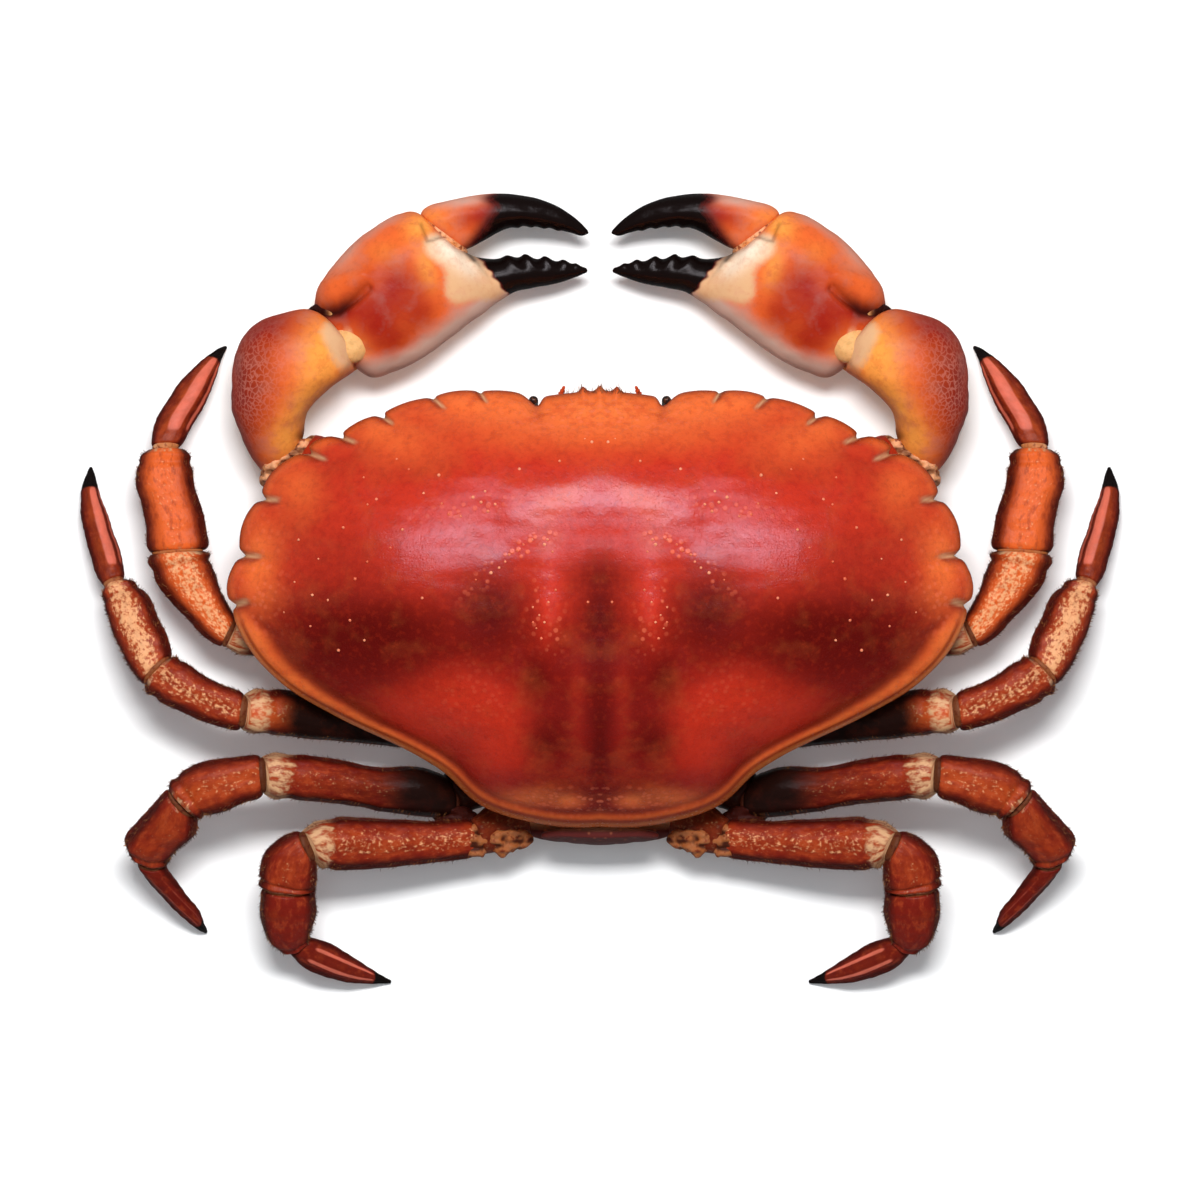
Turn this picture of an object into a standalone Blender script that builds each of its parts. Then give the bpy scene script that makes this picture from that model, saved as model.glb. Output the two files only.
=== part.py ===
"""A whole cooked brown crab lying on its belly, built from its separate shell pieces.

The crab faces +Y, its left side is at -X, and it rests on the plane z = 0. Each limb is a chain of
pieces, from the body outwards: base, merus, carpus, propodus (the palm, on a claw) and dactyl (the
movable finger, on a claw). A piece is a round-ended body that is swept along stations and cut
flat where it meets its neighbour, so that two neighbours face each other across a thin joint gap.
"""

import math

import bmesh
import bpy
import numpy as np
from mathutils import Vector

# Sizes and places are in millimetres, and Blender's unit is the metre.
MM = 0.001
JOINT_GAP = 0.35
FLOOR = 0.0
# Moves the whole crab so that the middle of its box is over the origin.
WHOLE_SHIFT = (0.0, -0.345, 0.0)

# The carapace, seen from above, is a distance from its middle for each direction.
# Directions are in degrees, from the front (0) round to the rear (180), alike on both sides.
CARAPACE_MIDDLE = (0.0, -4.4)
CARAPACE_TOP = 57.0
OUTLINE_DIRECTIONS = (
    0.0, 10.4, 14.5, 19.6, 24.5, 28.8, 38.2, 48.3, 56.2, 61.6,
    71.7, 81.3, 89.2, 96.5, 102.7, 110.9, 122.2, 135.0, 148.4, 161.7, 180.0,
)
OUTLINE_DISTANCES = (
    50.4, 50.5, 50.9, 52.8, 55.2, 57.3, 62.1, 67.4, 72.0, 76.4,
    81.9, 83.5, 84.7, 81.0, 75.4, 66.5, 57.0, 52.0, 52.7, 51.4, 49.9,
)
# The crimped edge: each lobe lies between two notches and bulges out between them.
NOTCHES = (19.6, 28.8, 38.2, 48.3, 56.2, 61.6, 71.7, 81.3, 89.2)
LOBE_BULGES = (0.3, 1.1, 1.1, 1.1, 1.7, 2.0, 1.7, 1.4)
NOTCH_DEPTH = 1.1
# Three small teeth between the eyes: direction, and their height.
BROW_TEETH = (0.0, 4.4)
BROW_TOOTH_HEIGHT = 1.1
# The eye looks out of a hollow of the edge.
EYE_HOLLOW_DIRECTION = 17.2
EYE_HOLLOW_DEPTH = 2.6
EYE_HOLLOW_HALF_ANGLE = 1.8
NOTCH_HALF_ANGLE = 1.0
EDGE_HEIGHTS = ((0, 32.0), (45, 33.0), (85, 31.0), (110, 28.5), (135, 26.5), (180, 25.0))
EDGE_THICKNESS = 2.2
CROWN_POWER = 2.3
CROWN_FALL = 0.80
# Below the edge the shell turns in to the flat floor of the carapace.
INNER_SHARES = ((0, 0.66), (45, 0.50), (70, 0.42), (90, 0.42), (125, 0.54), (150, 0.74), (180, 0.84))
CARAPACE_FLOOR = 13.0
# Swellings and hollows of the top: across, along, reach across, reach along, height.
SWELLINGS = (
    (0.0, 17.0, 17.0, 14.0, 1.6),
    (30.0, -22.0, 17.0, 15.0, 1.9),
    (46.0, 8.0, 17.0, 13.0, 0.6),
    (11.5, -4.0, 4.5, 11.0, 1.5),
    (0.0, -6.0, 4.5, 11.0, -1.2),
    (18.0, -13.0, 4.5, 8.0, -1.5),
    (13.0, -34.0, 4.5, 6.0, -1.1),
)
REAR_RIM_HEIGHT = 1.0

# Stations of the pieces under the body: across, along, up, half width, half depth.
STERNUM_STATIONS = (
    (0, -48.5, 8.5, 14, 6.5),
    (0, -42, 8.5, 27, 6.5),
    (0, -27, 8.5, 35, 6.5),
    (0, -8, 8.5, 38, 6.5),
    (0, 10, 8.5, 36, 6.5),
    (0, 21, 8.5, 20, 6.5),
)
STERNUM_SPAN = (4.3, CARAPACE_FLOOR - JOINT_GAP)
TAIL_STATIONS = (
    (0, -55.6, 22.6, 12.0, 1.5),
    (0, -56.6, 17.0, 13.5, 1.7),
    (0, -56.4, 9.0, 15.0, 1.9),
    (0, -51.5, 3.2, 17.0, 1.9),
    (0, -40.0, 1.6, 20.0, 1.9),
    (0, -20.0, 1.6, 20.5, 1.9),
    (0, -5.0, 1.6, 14.0, 1.9),
    (0, 5.0, 1.7, 5.0, 1.9),
)
MOUTH_PLATE_STATIONS = (
    (4.6, 22.6, 6.0, 3.6, 1.9),
    (5.0, 29.0, 9.5, 4.4, 2.0),
    (5.4, 36.5, 16.5, 4.2, 1.9),
)
EYE_STATIONS = ((15.2, 41.6, 23.0, 1.0, 1.0), (15.3, 44.6, 27.0, 1.3, 1.3), (15.3, 45.2, 32.4, 1.4, 1.3))
ANTENNA_STATIONS = ((10.2, 40.5, 23.0, 1.5, 1.3), (9.4, 44.0, 25.5, 1.1, 1.0), (8.2, 47.4, 27.6, 0.5, 0.5))

# The legs and the claws follow lines drawn across them, on a plan of the left half seen from
# above. The plan's unit is 0.23 mm, its middle line is at 600 across and y = 0 is at 591 down.
# A line is: across and down of its outer end, across and down of its inner end.
PLAN_UNIT = 0.23
PLAN_MIDDLE = 600
PLAN_LEVEL = 591
LEG_PIECES = ("merus", "carpus", "propodus", "dactyl")
# For each leg: the lines of each piece, and the heights of its five joints in millimetres.
WALKING_LEGS = (
    {
        "merus": ((406, 650, 402, 606), (350, 660, 350, 610), (290, 662, 290, 612), (250, 658, 252, 613),
                  (220, 649, 236, 617)),
        "carpus": ((220, 649, 236, 617), (200, 632, 226, 603), (180, 611, 219, 586), (162, 591, 213, 570),
                   (144, 554, 208, 550)),
        "propodus": ((144, 554, 208, 550), (142, 520, 202, 521), (138, 503, 197, 503), (133, 484, 191, 484),
                     (134, 466, 189, 466), (143, 449, 185, 448)),
        "dactyl": ((147, 446, 180, 446), (152, 425, 189, 424), (164, 402, 202, 402), (182, 376, 213, 378),
                   (200, 356, 219, 362), (222, 343, 225, 346)),
        "heights": (12.5, 18.5, 17.0, 12.5, 0.6),
        "half_depths": (4.6, 4.8, 4.4, 2.9),
    },
    {
        "merus": ((428, 752, 422, 708), (370, 745, 365, 701), (310, 739, 310, 694), (270, 736, 272, 690),
                  (240, 732, 245, 692)),
        "carpus": ((240, 732, 245, 692), (212, 723, 222, 684), (185, 713, 203, 674), (162, 702, 186, 663),
                   (141, 687, 172, 655)),
        "propodus": ((141, 687, 172, 655), (126, 664, 163, 633), (113, 640, 154, 614), (104, 615, 144, 594),
                     (99, 589, 124, 578)),
        "dactyl": ((99, 587, 123, 578), (92, 568, 119, 560), (84, 541, 111, 537), (78, 516, 103, 513),
                   (77, 493, 95, 491), (85, 465, 88, 466)),
        "heights": (12.0, 25.5, 23.0, 12.5, 0.6),
        "half_depths": (4.2, 4.4, 3.8, 2.7),
    },
    {
        "merus": ((454, 820, 448, 776), (425, 817, 415, 767), (380, 811, 380, 768), (340, 804, 340, 761),
                  (300, 800, 305, 755), (264, 797, 261, 753)),
        "carpus": ((264, 797, 261, 753), (242, 803, 234, 757), (226, 810, 205, 761), (210, 814, 184, 770),
                   (196, 819, 166, 788)),
        "propodus": ((196, 819, 166, 788), (195, 834, 150, 809), (183, 845, 135, 826), (173, 855, 123, 842),
                     (164, 867, 133, 862)),
        "dactyl": ((164, 867, 133, 864), (173, 882, 149, 885), (184, 897, 166, 905), (194, 911, 182, 921),
                   (200, 924, 194, 932), (204, 933, 202, 937)),
        "heights": (13.0, 29.0, 26.5, 15.5, 0.6),
        "half_depths": (4.6, 4.9, 3.8, 3.0),
    },
    {
        "merus": ((478, 858, 470, 818), (440, 862, 436, 822), (400, 866, 400, 820), (360, 869, 360, 818),
                  (328, 869, 332, 818), (316, 864, 299, 829)),
        "carpus": ((316, 864, 299, 829), (317, 871, 280, 838), (317, 878, 266, 852), (315, 885, 260, 870),
                   (314, 891, 260, 889)),
        "propodus": ((314, 891, 260, 889), (315, 910, 259, 911), (312, 926, 262, 931), (308, 936, 271, 946),
                     (304, 940, 285, 956)),
        "dactyl": ((306, 938, 287, 957), (320, 943, 303, 969), (338, 952, 325, 979), (354, 962, 346, 985),
                   (369, 973, 368, 987), (390, 984, 389, 987)),
        "heights": (15.0, 26.5, 22.5, 13.0, 0.6),
        "half_depths": (4.3, 4.8, 4.2, 2.6),
    },
)
# The inner end of each leg's base, where it leaves the breast plate: across, along, up.
LEG_ROOTS = ((36.5, -7.0, 8.4), (31.8, -27.0, 8.6), (25.5, -41.5, 9.0), (17.6, -52.4, 10.5))
JOINT_OVERLAP = 1.6

# The claw arm: across, along, up, half width, half depth of each station.
CLAW_BASE_STATIONS = (
    (32.0, 8.0, 8.4, 7.0, 4.1),
    (38.0, 10.5, 8.4, 7.5, 4.1),
    (44.5, 13.5, 9.0, 7.0, 4.1),
)
CLAW_MERUS_STATIONS = (
    (42.0, 12.5, 12.0, 6.0, 5.0),
    (50.0, 17.5, 13.5, 8.5, 7.5),
    (62.0, 25.0, 15.0, 9.0, 9.0),
    (72.0, 31.5, 16.0, 7.0, 8.5),
)
# The claw on the plan: a line, then the height of its middle and half its depth in millimetres.
CARPUS_LINES = (
    (262, 482, 300, 452, 14.5, 5.0),
    (252, 460, 302, 430, 15.0, 8.5),
    (241, 441, 306, 413, 15.5, 11.0),
    (233, 418, 317, 400, 16.0, 13.2),
    (230, 393, 331, 390, 16.4, 14.8),
    (230, 370, 345, 378, 16.6, 15.3),
    (234, 350, 352, 364, 16.6, 15.2),
    (245, 331, 350, 342, 16.4, 14.2),
    (262, 317, 337, 322, 15.8, 12.0),
    (286, 309, 314, 309, 15.0, 7.5),
)
PALM_LINES = (
    (300, 298, 342, 384, 12.8, 7.5),
    (316, 283, 362, 384, 12.7, 10.2),
    (343, 251, 392, 375, 12.5, 12.5),
    (371, 227, 422, 357, 12.4, 12.7),
    (397, 212, 448, 338, 12.3, 12.4),
    (416, 211, 468, 321, 12.0, 11.4),
    (431, 226, 482, 311, 11.6, 10.2),
    (449, 242, 492, 303, 11.3, 8.6),
    (469, 253, 502, 297, 11.0, 7.2),
    (490, 257, 514, 290, 11.0, 6.0),
    (515, 256, 531, 286, 10.6, 4.9),
    (544, 258, 555, 281, 10.1, 3.6),
    (570, 262, 574, 275, 9.7, 2.2),
    (587, 266, 588, 270, 9.6, 0.9),
)
FINGER_LINES = (
    (404, 211, 456, 258, 14.2, 5.2),
    (424, 205, 470, 246, 14.0, 6.2),
    (446, 199, 486, 237, 13.8, 6.4),
    (467, 195, 503, 228, 13.4, 6.0),
    (492, 192, 521, 224, 12.8, 5.2),
    (517, 193, 539, 225, 12.2, 4.2),
    (541, 198, 557, 227, 11.6, 3.3),
    (562, 207, 572, 231, 11.0, 2.4),
    (579, 219, 583, 234, 10.6, 1.5),
    (588, 228, 589, 232, 10.4, 0.8),
)
# Flat cuts between the claw's pieces: a point of the cut and the direction it faces, outwards.
CLAW_ROOT_CUT = ((36.2, 9.6, 8.0), (0.92, 0.38, 0.0))
CLAW_HIP_CUT = ((43.2, 13.0, 0.0), (0.87, 0.50, 0.0))
CLAW_ELBOW_CUT = ((72.0, 31.2, 0.0), (0.60, 0.80, 0.0))
CLAW_WRIST_CUT = ((62.0, 58.2, 0.0), (-0.82, 0.57, 0.0))
CLAW_KNUCKLE_CUT = ((35.9, 84.0, 0.0), (-0.52, 0.85, 0.0))
# Teeth of the fixed finger: place along the palm, height.
TEETH = ((0.745, 0.9), (0.815, 1.1), (0.885, 1.1), (0.945, 0.9))
TOOTH_REACH = 0.020

# Mesh fineness of the solids.
LIMB_SIDES = 10
LIMB_RINGS = 9
CLAW_SIDES = 14
CARAPACE_RINGS = (0.14, 0.32, 0.50, 0.66, 0.79, 0.89, 0.955)
UNDER_RINGS = (0.0, 0.10, 0.32, 0.62, 1.0)

SHELL_COLOUR = (0.42, 0.045, 0.02)
CLAW_COLOUR = (0.55, 0.16, 0.05)
FINGER_COLOUR = (0.012, 0.008, 0.008)
LEG_COLOUR = (0.42, 0.09, 0.03)
BELLY_COLOUR = (0.68, 0.42, 0.24)
EYE_COLOUR = (0.01, 0.008, 0.008)


def clear_scene():
    """Removes every object that the file holds."""
    for obj in list(bpy.data.objects):
        bpy.data.objects.remove(obj)


def finish_material(name, colour, roughness):
    """A plain dielectric finish."""
    material = bpy.data.materials.new(name)
    material.use_nodes = True
    shader = material.node_tree.nodes["Principled BSDF"]
    shader.inputs["Base Color"].default_value = (*colour, 1.0)
    shader.inputs["Roughness"].default_value = roughness
    shader.inputs["Metallic"].default_value = 0.0
    return material


def smooth(knots, values, at):
    """A smooth curve through values at the knots, read at the places in at."""
    knots = np.asarray(knots, float)
    values = np.asarray(values, float)
    slopes = np.gradient(values, knots, axis=0)
    i = np.clip(np.searchsorted(knots, at) - 1, 0, len(knots) - 2)
    span = knots[i + 1] - knots[i]
    u = (at - knots[i]) / span
    if values.ndim > 1:
        span, u = span[:, None], u[:, None]
    start = values[i] * (1 + 2 * u) * (1 - u) ** 2 + slopes[i] * span * u * (1 - u) ** 2
    end = values[i + 1] * u * u * (3 - 2 * u) + slopes[i + 1] * span * u * u * (u - 1)
    return start + end


def sphere_grid(columns, rings):
    """A closed ball mesh, with the column and the ring of each vertex."""
    bm = bmesh.new()
    bmesh.ops.create_uvsphere(bm, u_segments=columns, v_segments=rings, radius=1.0)
    points = np.array([v.co for v in bm.verts])
    ring = np.round(np.arccos(np.clip(-points[:, 2], -1, 1)) / math.pi * rings).astype(int)
    turn = np.arctan2(points[:, 1], points[:, 0]) / (2 * math.pi)
    column = np.round(turn * columns).astype(int) % columns
    return bm, column, ring


def shape_ball(bm, points, side):
    """Moves a ball's vertices to points, on the right side or mirrored to the left one."""
    for vertex, point in zip(bm.verts, points):
        vertex.co = Vector((point[0] * side, point[1], max(point[2], FLOOR)))


def cut_flat(bm, point, facing, side):
    """Cuts away what lies beyond a plane and closes the cut. facing points at the waste."""
    plane_point = Vector((point[0] * side, point[1], point[2]))
    plane_facing = Vector((facing[0] * side, facing[1], facing[2])).normalized()
    everything = bm.verts[:] + bm.edges[:] + bm.faces[:]
    cut = bmesh.ops.bisect_plane(
        bm, geom=everything, plane_co=plane_point, plane_no=plane_facing, clear_outer=True
    )
    rim = [item for item in cut["geom_cut"] if isinstance(item, bmesh.types.BMEdge)]
    bmesh.ops.holes_fill(bm, edges=rim, sides=0)


def place_object(name, bm, origin, material, collection, parent):
    """Links a finished mesh, in metres, with its origin at a joint."""
    bmesh.ops.recalc_face_normals(bm, faces=bm.faces)
    if bm.calc_volume(signed=True) < 0:
        bmesh.ops.reverse_faces(bm, faces=bm.faces)
    start = Vector(origin)
    bmesh.ops.translate(bm, verts=bm.verts, vec=-start)
    bmesh.ops.scale(bm, verts=bm.verts, vec=(MM, MM, MM))
    mesh = bpy.data.meshes.new(name)
    bm.to_mesh(mesh)
    bm.free()
    mesh.materials.append(material)
    mesh.shade_smooth()
    mesh.set_sharp_from_angle(angle=math.radians(50))
    obj = bpy.data.objects.new(name, mesh)
    obj.location = start * MM
    obj.parent = parent
    collection.objects.link(obj)
    return obj


def unit(vectors):
    return vectors / np.linalg.norm(vectors, axis=-1, keepdims=True)


def limb_points(lines, share, angle, squareness=2.3, end_power=8.0, relief=None):
    """Points of a round-ended body, for shares of its length and angles round it.

    A line is the x, y, z of its middle, the x, y of half the line across, and half the depth.
    """
    lines = np.asarray(lines, float)
    steps = np.linalg.norm(np.diff(lines[:, :3], axis=0), axis=1)
    knots = np.concatenate([[0], np.cumsum(steps)]) / steps.sum()
    section = smooth(knots, lines, share)
    ahead = smooth(knots, lines[:, :3], np.minimum(share + 0.02, 1.0))
    behind = smooth(knots, lines[:, :3], np.maximum(share - 0.02, 0.0))
    half_line = np.concatenate([section[:, 3:5], np.zeros((len(share), 1))], axis=1)
    half_width = np.linalg.norm(half_line, axis=1)
    sideways = unit(half_line)
    along = ahead - behind
    along = unit(along - sideways * np.sum(along * sideways, axis=1)[:, None])
    upwards = np.cross(along, sideways)
    upwards *= np.sign(upwards[:, 2:] + 1e-9)
    end_shrink = (1 - np.abs(2 * share - 1) ** end_power) ** (1 / end_power)
    bend = 2 / squareness
    across = np.sign(np.cos(angle)) * np.abs(np.cos(angle)) ** bend
    up = np.sign(np.sin(angle)) * np.abs(np.sin(angle)) ** bend
    width = half_width * end_shrink
    if relief is not None:
        width = width + relief(share, angle)
    depth = section[:, 5] * end_shrink
    return section[:, :3] + sideways * (width * across)[:, None] + upwards * (depth * up)[:, None]


def station_lines(stations):
    """The lines across a body whose stations are middle, half width and half depth."""
    stations = np.asarray(stations, float)
    forward = np.gradient(stations[:, :3], axis=0)
    sideways = unit(np.cross(forward, (0.0, 0.0, 1.0)))
    half = sideways * stations[:, 3:4]
    return np.concatenate([stations[:, :3], half[:, :2], stations[:, 4:]], axis=1)


def plan_lines(lines):
    """The lines across a body that are drawn on the plan, in millimetres."""
    lines = np.asarray(lines, float)
    outer = np.stack([PLAN_MIDDLE - lines[:, 0], PLAN_LEVEL - lines[:, 1]], axis=1) * PLAN_UNIT
    inner = np.stack([PLAN_MIDDLE - lines[:, 2], PLAN_LEVEL - lines[:, 3]], axis=1) * PLAN_UNIT
    return np.concatenate([(outer + inner) / 2, lines[:, 4:5], (inner - outer) / 2, lines[:, 5:]], axis=1)


def limb(lines, columns, rings, side, cuts=(), squareness=2.3, relief=None):
    """A limb piece's mesh, cut flat at its joints. A cut is a point and a facing."""
    bm, column, ring = sphere_grid(columns, rings)
    share = (1 - np.cos(ring / rings * math.pi)) / 2
    angle = column / columns * 2 * math.pi
    shape_ball(bm, limb_points(lines, share, angle, squareness, relief=relief), side)
    for point, facing in cuts:
        direction = np.asarray(facing, float) / np.linalg.norm(facing)
        cut_flat(bm, np.asarray(point, float) - direction * JOINT_GAP / 2, facing, side)
    return bm


def swap(cut):
    """The same cut, facing the other way."""
    point, facing = cut
    return point, tuple(-x for x in facing)


def lobe_share(direction):
    """How far the crimped edge bulges out in a direction, in millimetres."""
    bulge = np.zeros_like(direction)
    for start, end, height in zip(NOTCHES, NOTCHES[1:], LOBE_BULGES):
        place = np.clip((direction - start) / (end - start), 0, 1)
        bulge += height * np.sin(place * math.pi) ** 0.7
    for notch in NOTCHES[1:]:
        bulge -= NOTCH_DEPTH * np.exp(-(((direction - notch) / NOTCH_HALF_ANGLE) ** 2))
    for tooth in BROW_TEETH:
        bulge += BROW_TOOTH_HEIGHT * np.exp(-(((direction - tooth) / NOTCH_HALF_ANGLE) ** 2))
    bulge -= EYE_HOLLOW_DEPTH * np.exp(-(((direction - EYE_HOLLOW_DIRECTION) / EYE_HOLLOW_HALF_ANGLE) ** 2))
    return bulge


def outline_distance(direction):
    """The carapace's plain outline, without its lobes."""
    knots = np.array([-d for d in OUTLINE_DIRECTIONS[:0:-1]] + list(OUTLINE_DIRECTIONS))
    distances = np.array(list(OUTLINE_DISTANCES[:0:-1]) + list(OUTLINE_DISTANCES))
    return smooth(knots, distances, direction)


def by_direction(table, direction):
    """A value that changes smoothly from the front to the rear."""
    knots, values = zip(*table)
    mirrored = [-k for k in knots[:0:-1]] + list(knots)
    return smooth(mirrored, list(values[:0:-1]) + list(values), direction)


def swelling(x, y):
    """The height that the top's swellings and hollows add at a place."""
    height = np.zeros_like(x)
    for across, along, reach_x, reach_y, rise in SWELLINGS:
        for centre in {across, -across}:
            far = ((x - centre) / reach_x) ** 2 + ((y - along) / reach_y) ** 2
            height += rise * np.exp(-far)
    return height


def carapace_directions():
    """The direction of each column of the carapace's mesh, closer together on the lobes."""
    half = [0.0, 2.2, 4.4, 6.6, 10.4, 14.0, 15.6, 17.2, 18.4]
    for start, end in zip(NOTCHES, NOTCHES[1:]):
        half += [start + (end - start) * k / 4 for k in range(4)]
    half += [NOTCHES[-1], 91.0, 94.0, 98.0, 102.7, 107.5, 113.0, 119.0, 125.0, 131.0, 137.0]
    half += [143.0, 148.4, 154.0, 160.0, 166.5, 173.0]
    return np.array(half + [180.0] + [-d for d in half[:0:-1]])


def build_carapace(material, collection, parent):
    """The back shell: a crowned top, a crimped edge and an underside turned in to a flat floor."""
    directions = carapace_directions()
    rings = len(CARAPACE_RINGS) + len(UNDER_RINGS) + 2
    bm, column, ring = sphere_grid(len(directions), rings)
    signed = directions[column]
    direction = np.abs(signed)
    plain = outline_distance(direction)
    inner = by_direction(INNER_SHARES, direction)
    edge_height = by_direction(EDGE_HEIGHTS, direction)
    # Ring 0 is the lower pole, the edge is between the under rings and the top rings.
    under = np.array([1 - (1 - 0.0) * u for u in UNDER_RINGS[::-1]])
    share = np.zeros(len(ring))
    height = np.full(len(ring), CARAPACE_FLOOR)
    for i, step in enumerate(UNDER_RINGS[::-1], start=1):
        at = ring == i
        inward = inner[at] + (1 - inner[at]) * (1 - step)
        share[at] = inward
        fall = (1 - step) ** 0.5 if step < 1 else 0.0
        below = edge_height[at] - EDGE_THICKNESS
        height[at] = CARAPACE_FLOOR + (below - CARAPACE_FLOOR) * fall
    first_top = len(UNDER_RINGS) + 1
    top_shares = (1.0, *CARAPACE_RINGS[::-1], 0.0)
    for i, step in enumerate(top_shares, start=first_top):
        at = ring == i
        share[at] = step
        crown = (1 - step**CROWN_POWER) ** CROWN_FALL
        height[at] = edge_height[at] + (CARAPACE_TOP - edge_height[at]) * crown
    lobes = lobe_share(direction) * np.clip((share - 0.86) / 0.14, 0, 1) ** 1.5
    reach = plain * share + lobes
    x = CARAPACE_MIDDLE[0] + reach * np.sin(np.radians(signed))
    y = CARAPACE_MIDDLE[1] + reach * np.cos(np.radians(signed))
    on_top = ring > first_top
    height[on_top] += (swelling(x, y) * np.clip((1 - share) / 0.2, 0, 1))[on_top]
    rim = (ring == first_top) | (share > 0.95) & on_top
    height[rim] += REAR_RIM_HEIGHT * np.clip((direction[rim] - 92) / 12, 0, 1)
    shape_ball(bm, np.stack([x, y, height], axis=1), 1)
    return place_object("carapace", bm, (0, 0, CARAPACE_FLOOR), material, collection, parent)


def leg_lines(leg, piece):
    """The lines across one leg piece, and one line past each joint."""
    inner, outer = leg["heights"][piece : piece + 2]
    half_depth = leg["half_depths"][piece]
    drawn = leg[LEG_PIECES[piece]]
    last = len(drawn) - 1
    widths = [math.hypot(line[2] - line[0], line[3] - line[1]) for line in drawn]
    rows = []
    for k, line in enumerate(drawn):
        height = inner + (outer - inner) * k / last
        rows.append((*line, height, half_depth * widths[k] / max(widths)))
    lines = plan_lines(rows)
    first = lines[0] + (lines[0] - lines[1]) * JOINT_OVERLAP / np.linalg.norm(lines[0, :3] - lines[1, :3])
    first[3:] = lines[0, 3:]
    lines = np.concatenate([[first], lines])
    if piece < len(LEG_PIECES) - 1:
        step = lines[-1] - lines[-2]
        beyond = lines[-1] + step * JOINT_OVERLAP / np.linalg.norm(step[:3])
        beyond[3:] = lines[-1, 3:]
        lines = np.concatenate([lines, [beyond]])
    return lines


def joint_cut(leg, piece):
    """The flat cut at the inner joint of a leg piece, through the line where two pieces meet."""
    here = leg_lines(leg, piece)
    point = here[1, :3]
    across = unit(np.array([here[1, 3], here[1, 4], 0.0]))
    onward = unit(here[2, :3] - here[1, :3])
    if piece > 0:
        onward = onward + unit(here[1, :3] - leg_lines(leg, piece - 1)[-3, :3])
    facing = onward - across * np.dot(onward, across)
    return tuple(point), tuple(unit(facing))


def root_cut(number):
    """The flat cut where a leg's base leaves the body, upright and across the base."""
    root = np.array(LEG_ROOTS[number], float)
    outward = leg_lines(WALKING_LEGS[number], 0)[1, :3] - root
    outward[2] = 0.0
    return tuple(root), tuple(unit(outward))


def build_leg(number, side, side_name, material, collection, parent):
    """One walking leg: its base and its four long pieces."""
    leg = WALKING_LEGS[number]
    name = f"leg_{number + 1}_{side_name}"
    root = np.array(LEG_ROOTS[number], float)
    hip = leg_lines(leg, 0)[1]
    outward = unit(hip[:3] - root)
    base_half = np.linalg.norm(hip[3:5])
    base_stations = (
        (*(root - outward * JOINT_OVERLAP), base_half * 1.05, 4.0),
        (*((root + hip[:3]) / 2), base_half * 1.1, 4.2),
        (*(hip[:3] + outward * JOINT_OVERLAP), base_half * 0.9, 4.0),
    )
    bm = limb(station_lines(base_stations), 8, 6, side, (swap(root_cut(number)), joint_cut(leg, 0)))
    place_object(f"{name}_base", bm, (root[0] * side, *root[1:]), material, collection, parent)
    for piece, piece_name in enumerate(LEG_PIECES):
        cuts = [swap(joint_cut(leg, piece))]
        if piece < len(LEG_PIECES) - 1:
            cuts.append(joint_cut(leg, piece + 1))
        lines = leg_lines(leg, piece)
        bm = limb(lines, LIMB_SIDES, LIMB_RINGS, side, cuts)
        x, y, z = lines[1, :3]
        place_object(f"{name}_{piece_name}", bm, (x * side, y, z), material, collection, parent)


def teeth_relief(share, angle):
    """The blunt teeth along the inner side of the fixed finger."""
    height = np.zeros_like(share)
    for place, rise in TEETH:
        height += rise * np.exp(-(((share - place) / TOOTH_REACH) ** 2))
    return height * np.clip(-np.cos(angle), 0, 1) ** 2


def build_claw(side, side_name, shell, finger, collection, parent):
    """One claw arm: base, merus, carpus, palm with the fixed finger, and the movable finger."""
    base = station_lines(CLAW_BASE_STATIONS)
    merus = station_lines(CLAW_MERUS_STATIONS)
    carpus = plan_lines(CARPUS_LINES)
    palm = plan_lines(PALM_LINES)
    movable = plan_lines(FINGER_LINES)
    pieces = (
        ("base", base, 8, 6, (swap(CLAW_ROOT_CUT), CLAW_HIP_CUT), None, shell),
        ("merus", merus, 12, 9, (swap(CLAW_HIP_CUT), CLAW_ELBOW_CUT), None, shell),
        ("carpus", carpus, CLAW_SIDES, 12, (swap(CLAW_ELBOW_CUT), CLAW_WRIST_CUT), None, shell),
        ("palm", palm, CLAW_SIDES, 36, (swap(CLAW_WRIST_CUT),), teeth_relief, shell),
        ("finger", movable, 12, 14, (swap(CLAW_KNUCKLE_CUT),), None, finger),
    )
    for piece_name, lines, columns, rings, cuts, relief, material in pieces:
        bm = limb(lines, columns, rings, side, cuts, 2.2, relief)
        x, y, z = lines[0, :3]
        name = f"claw_{side_name}_{piece_name}"
        place_object(name, bm, (x * side, y, z), material, collection, parent)


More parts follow.
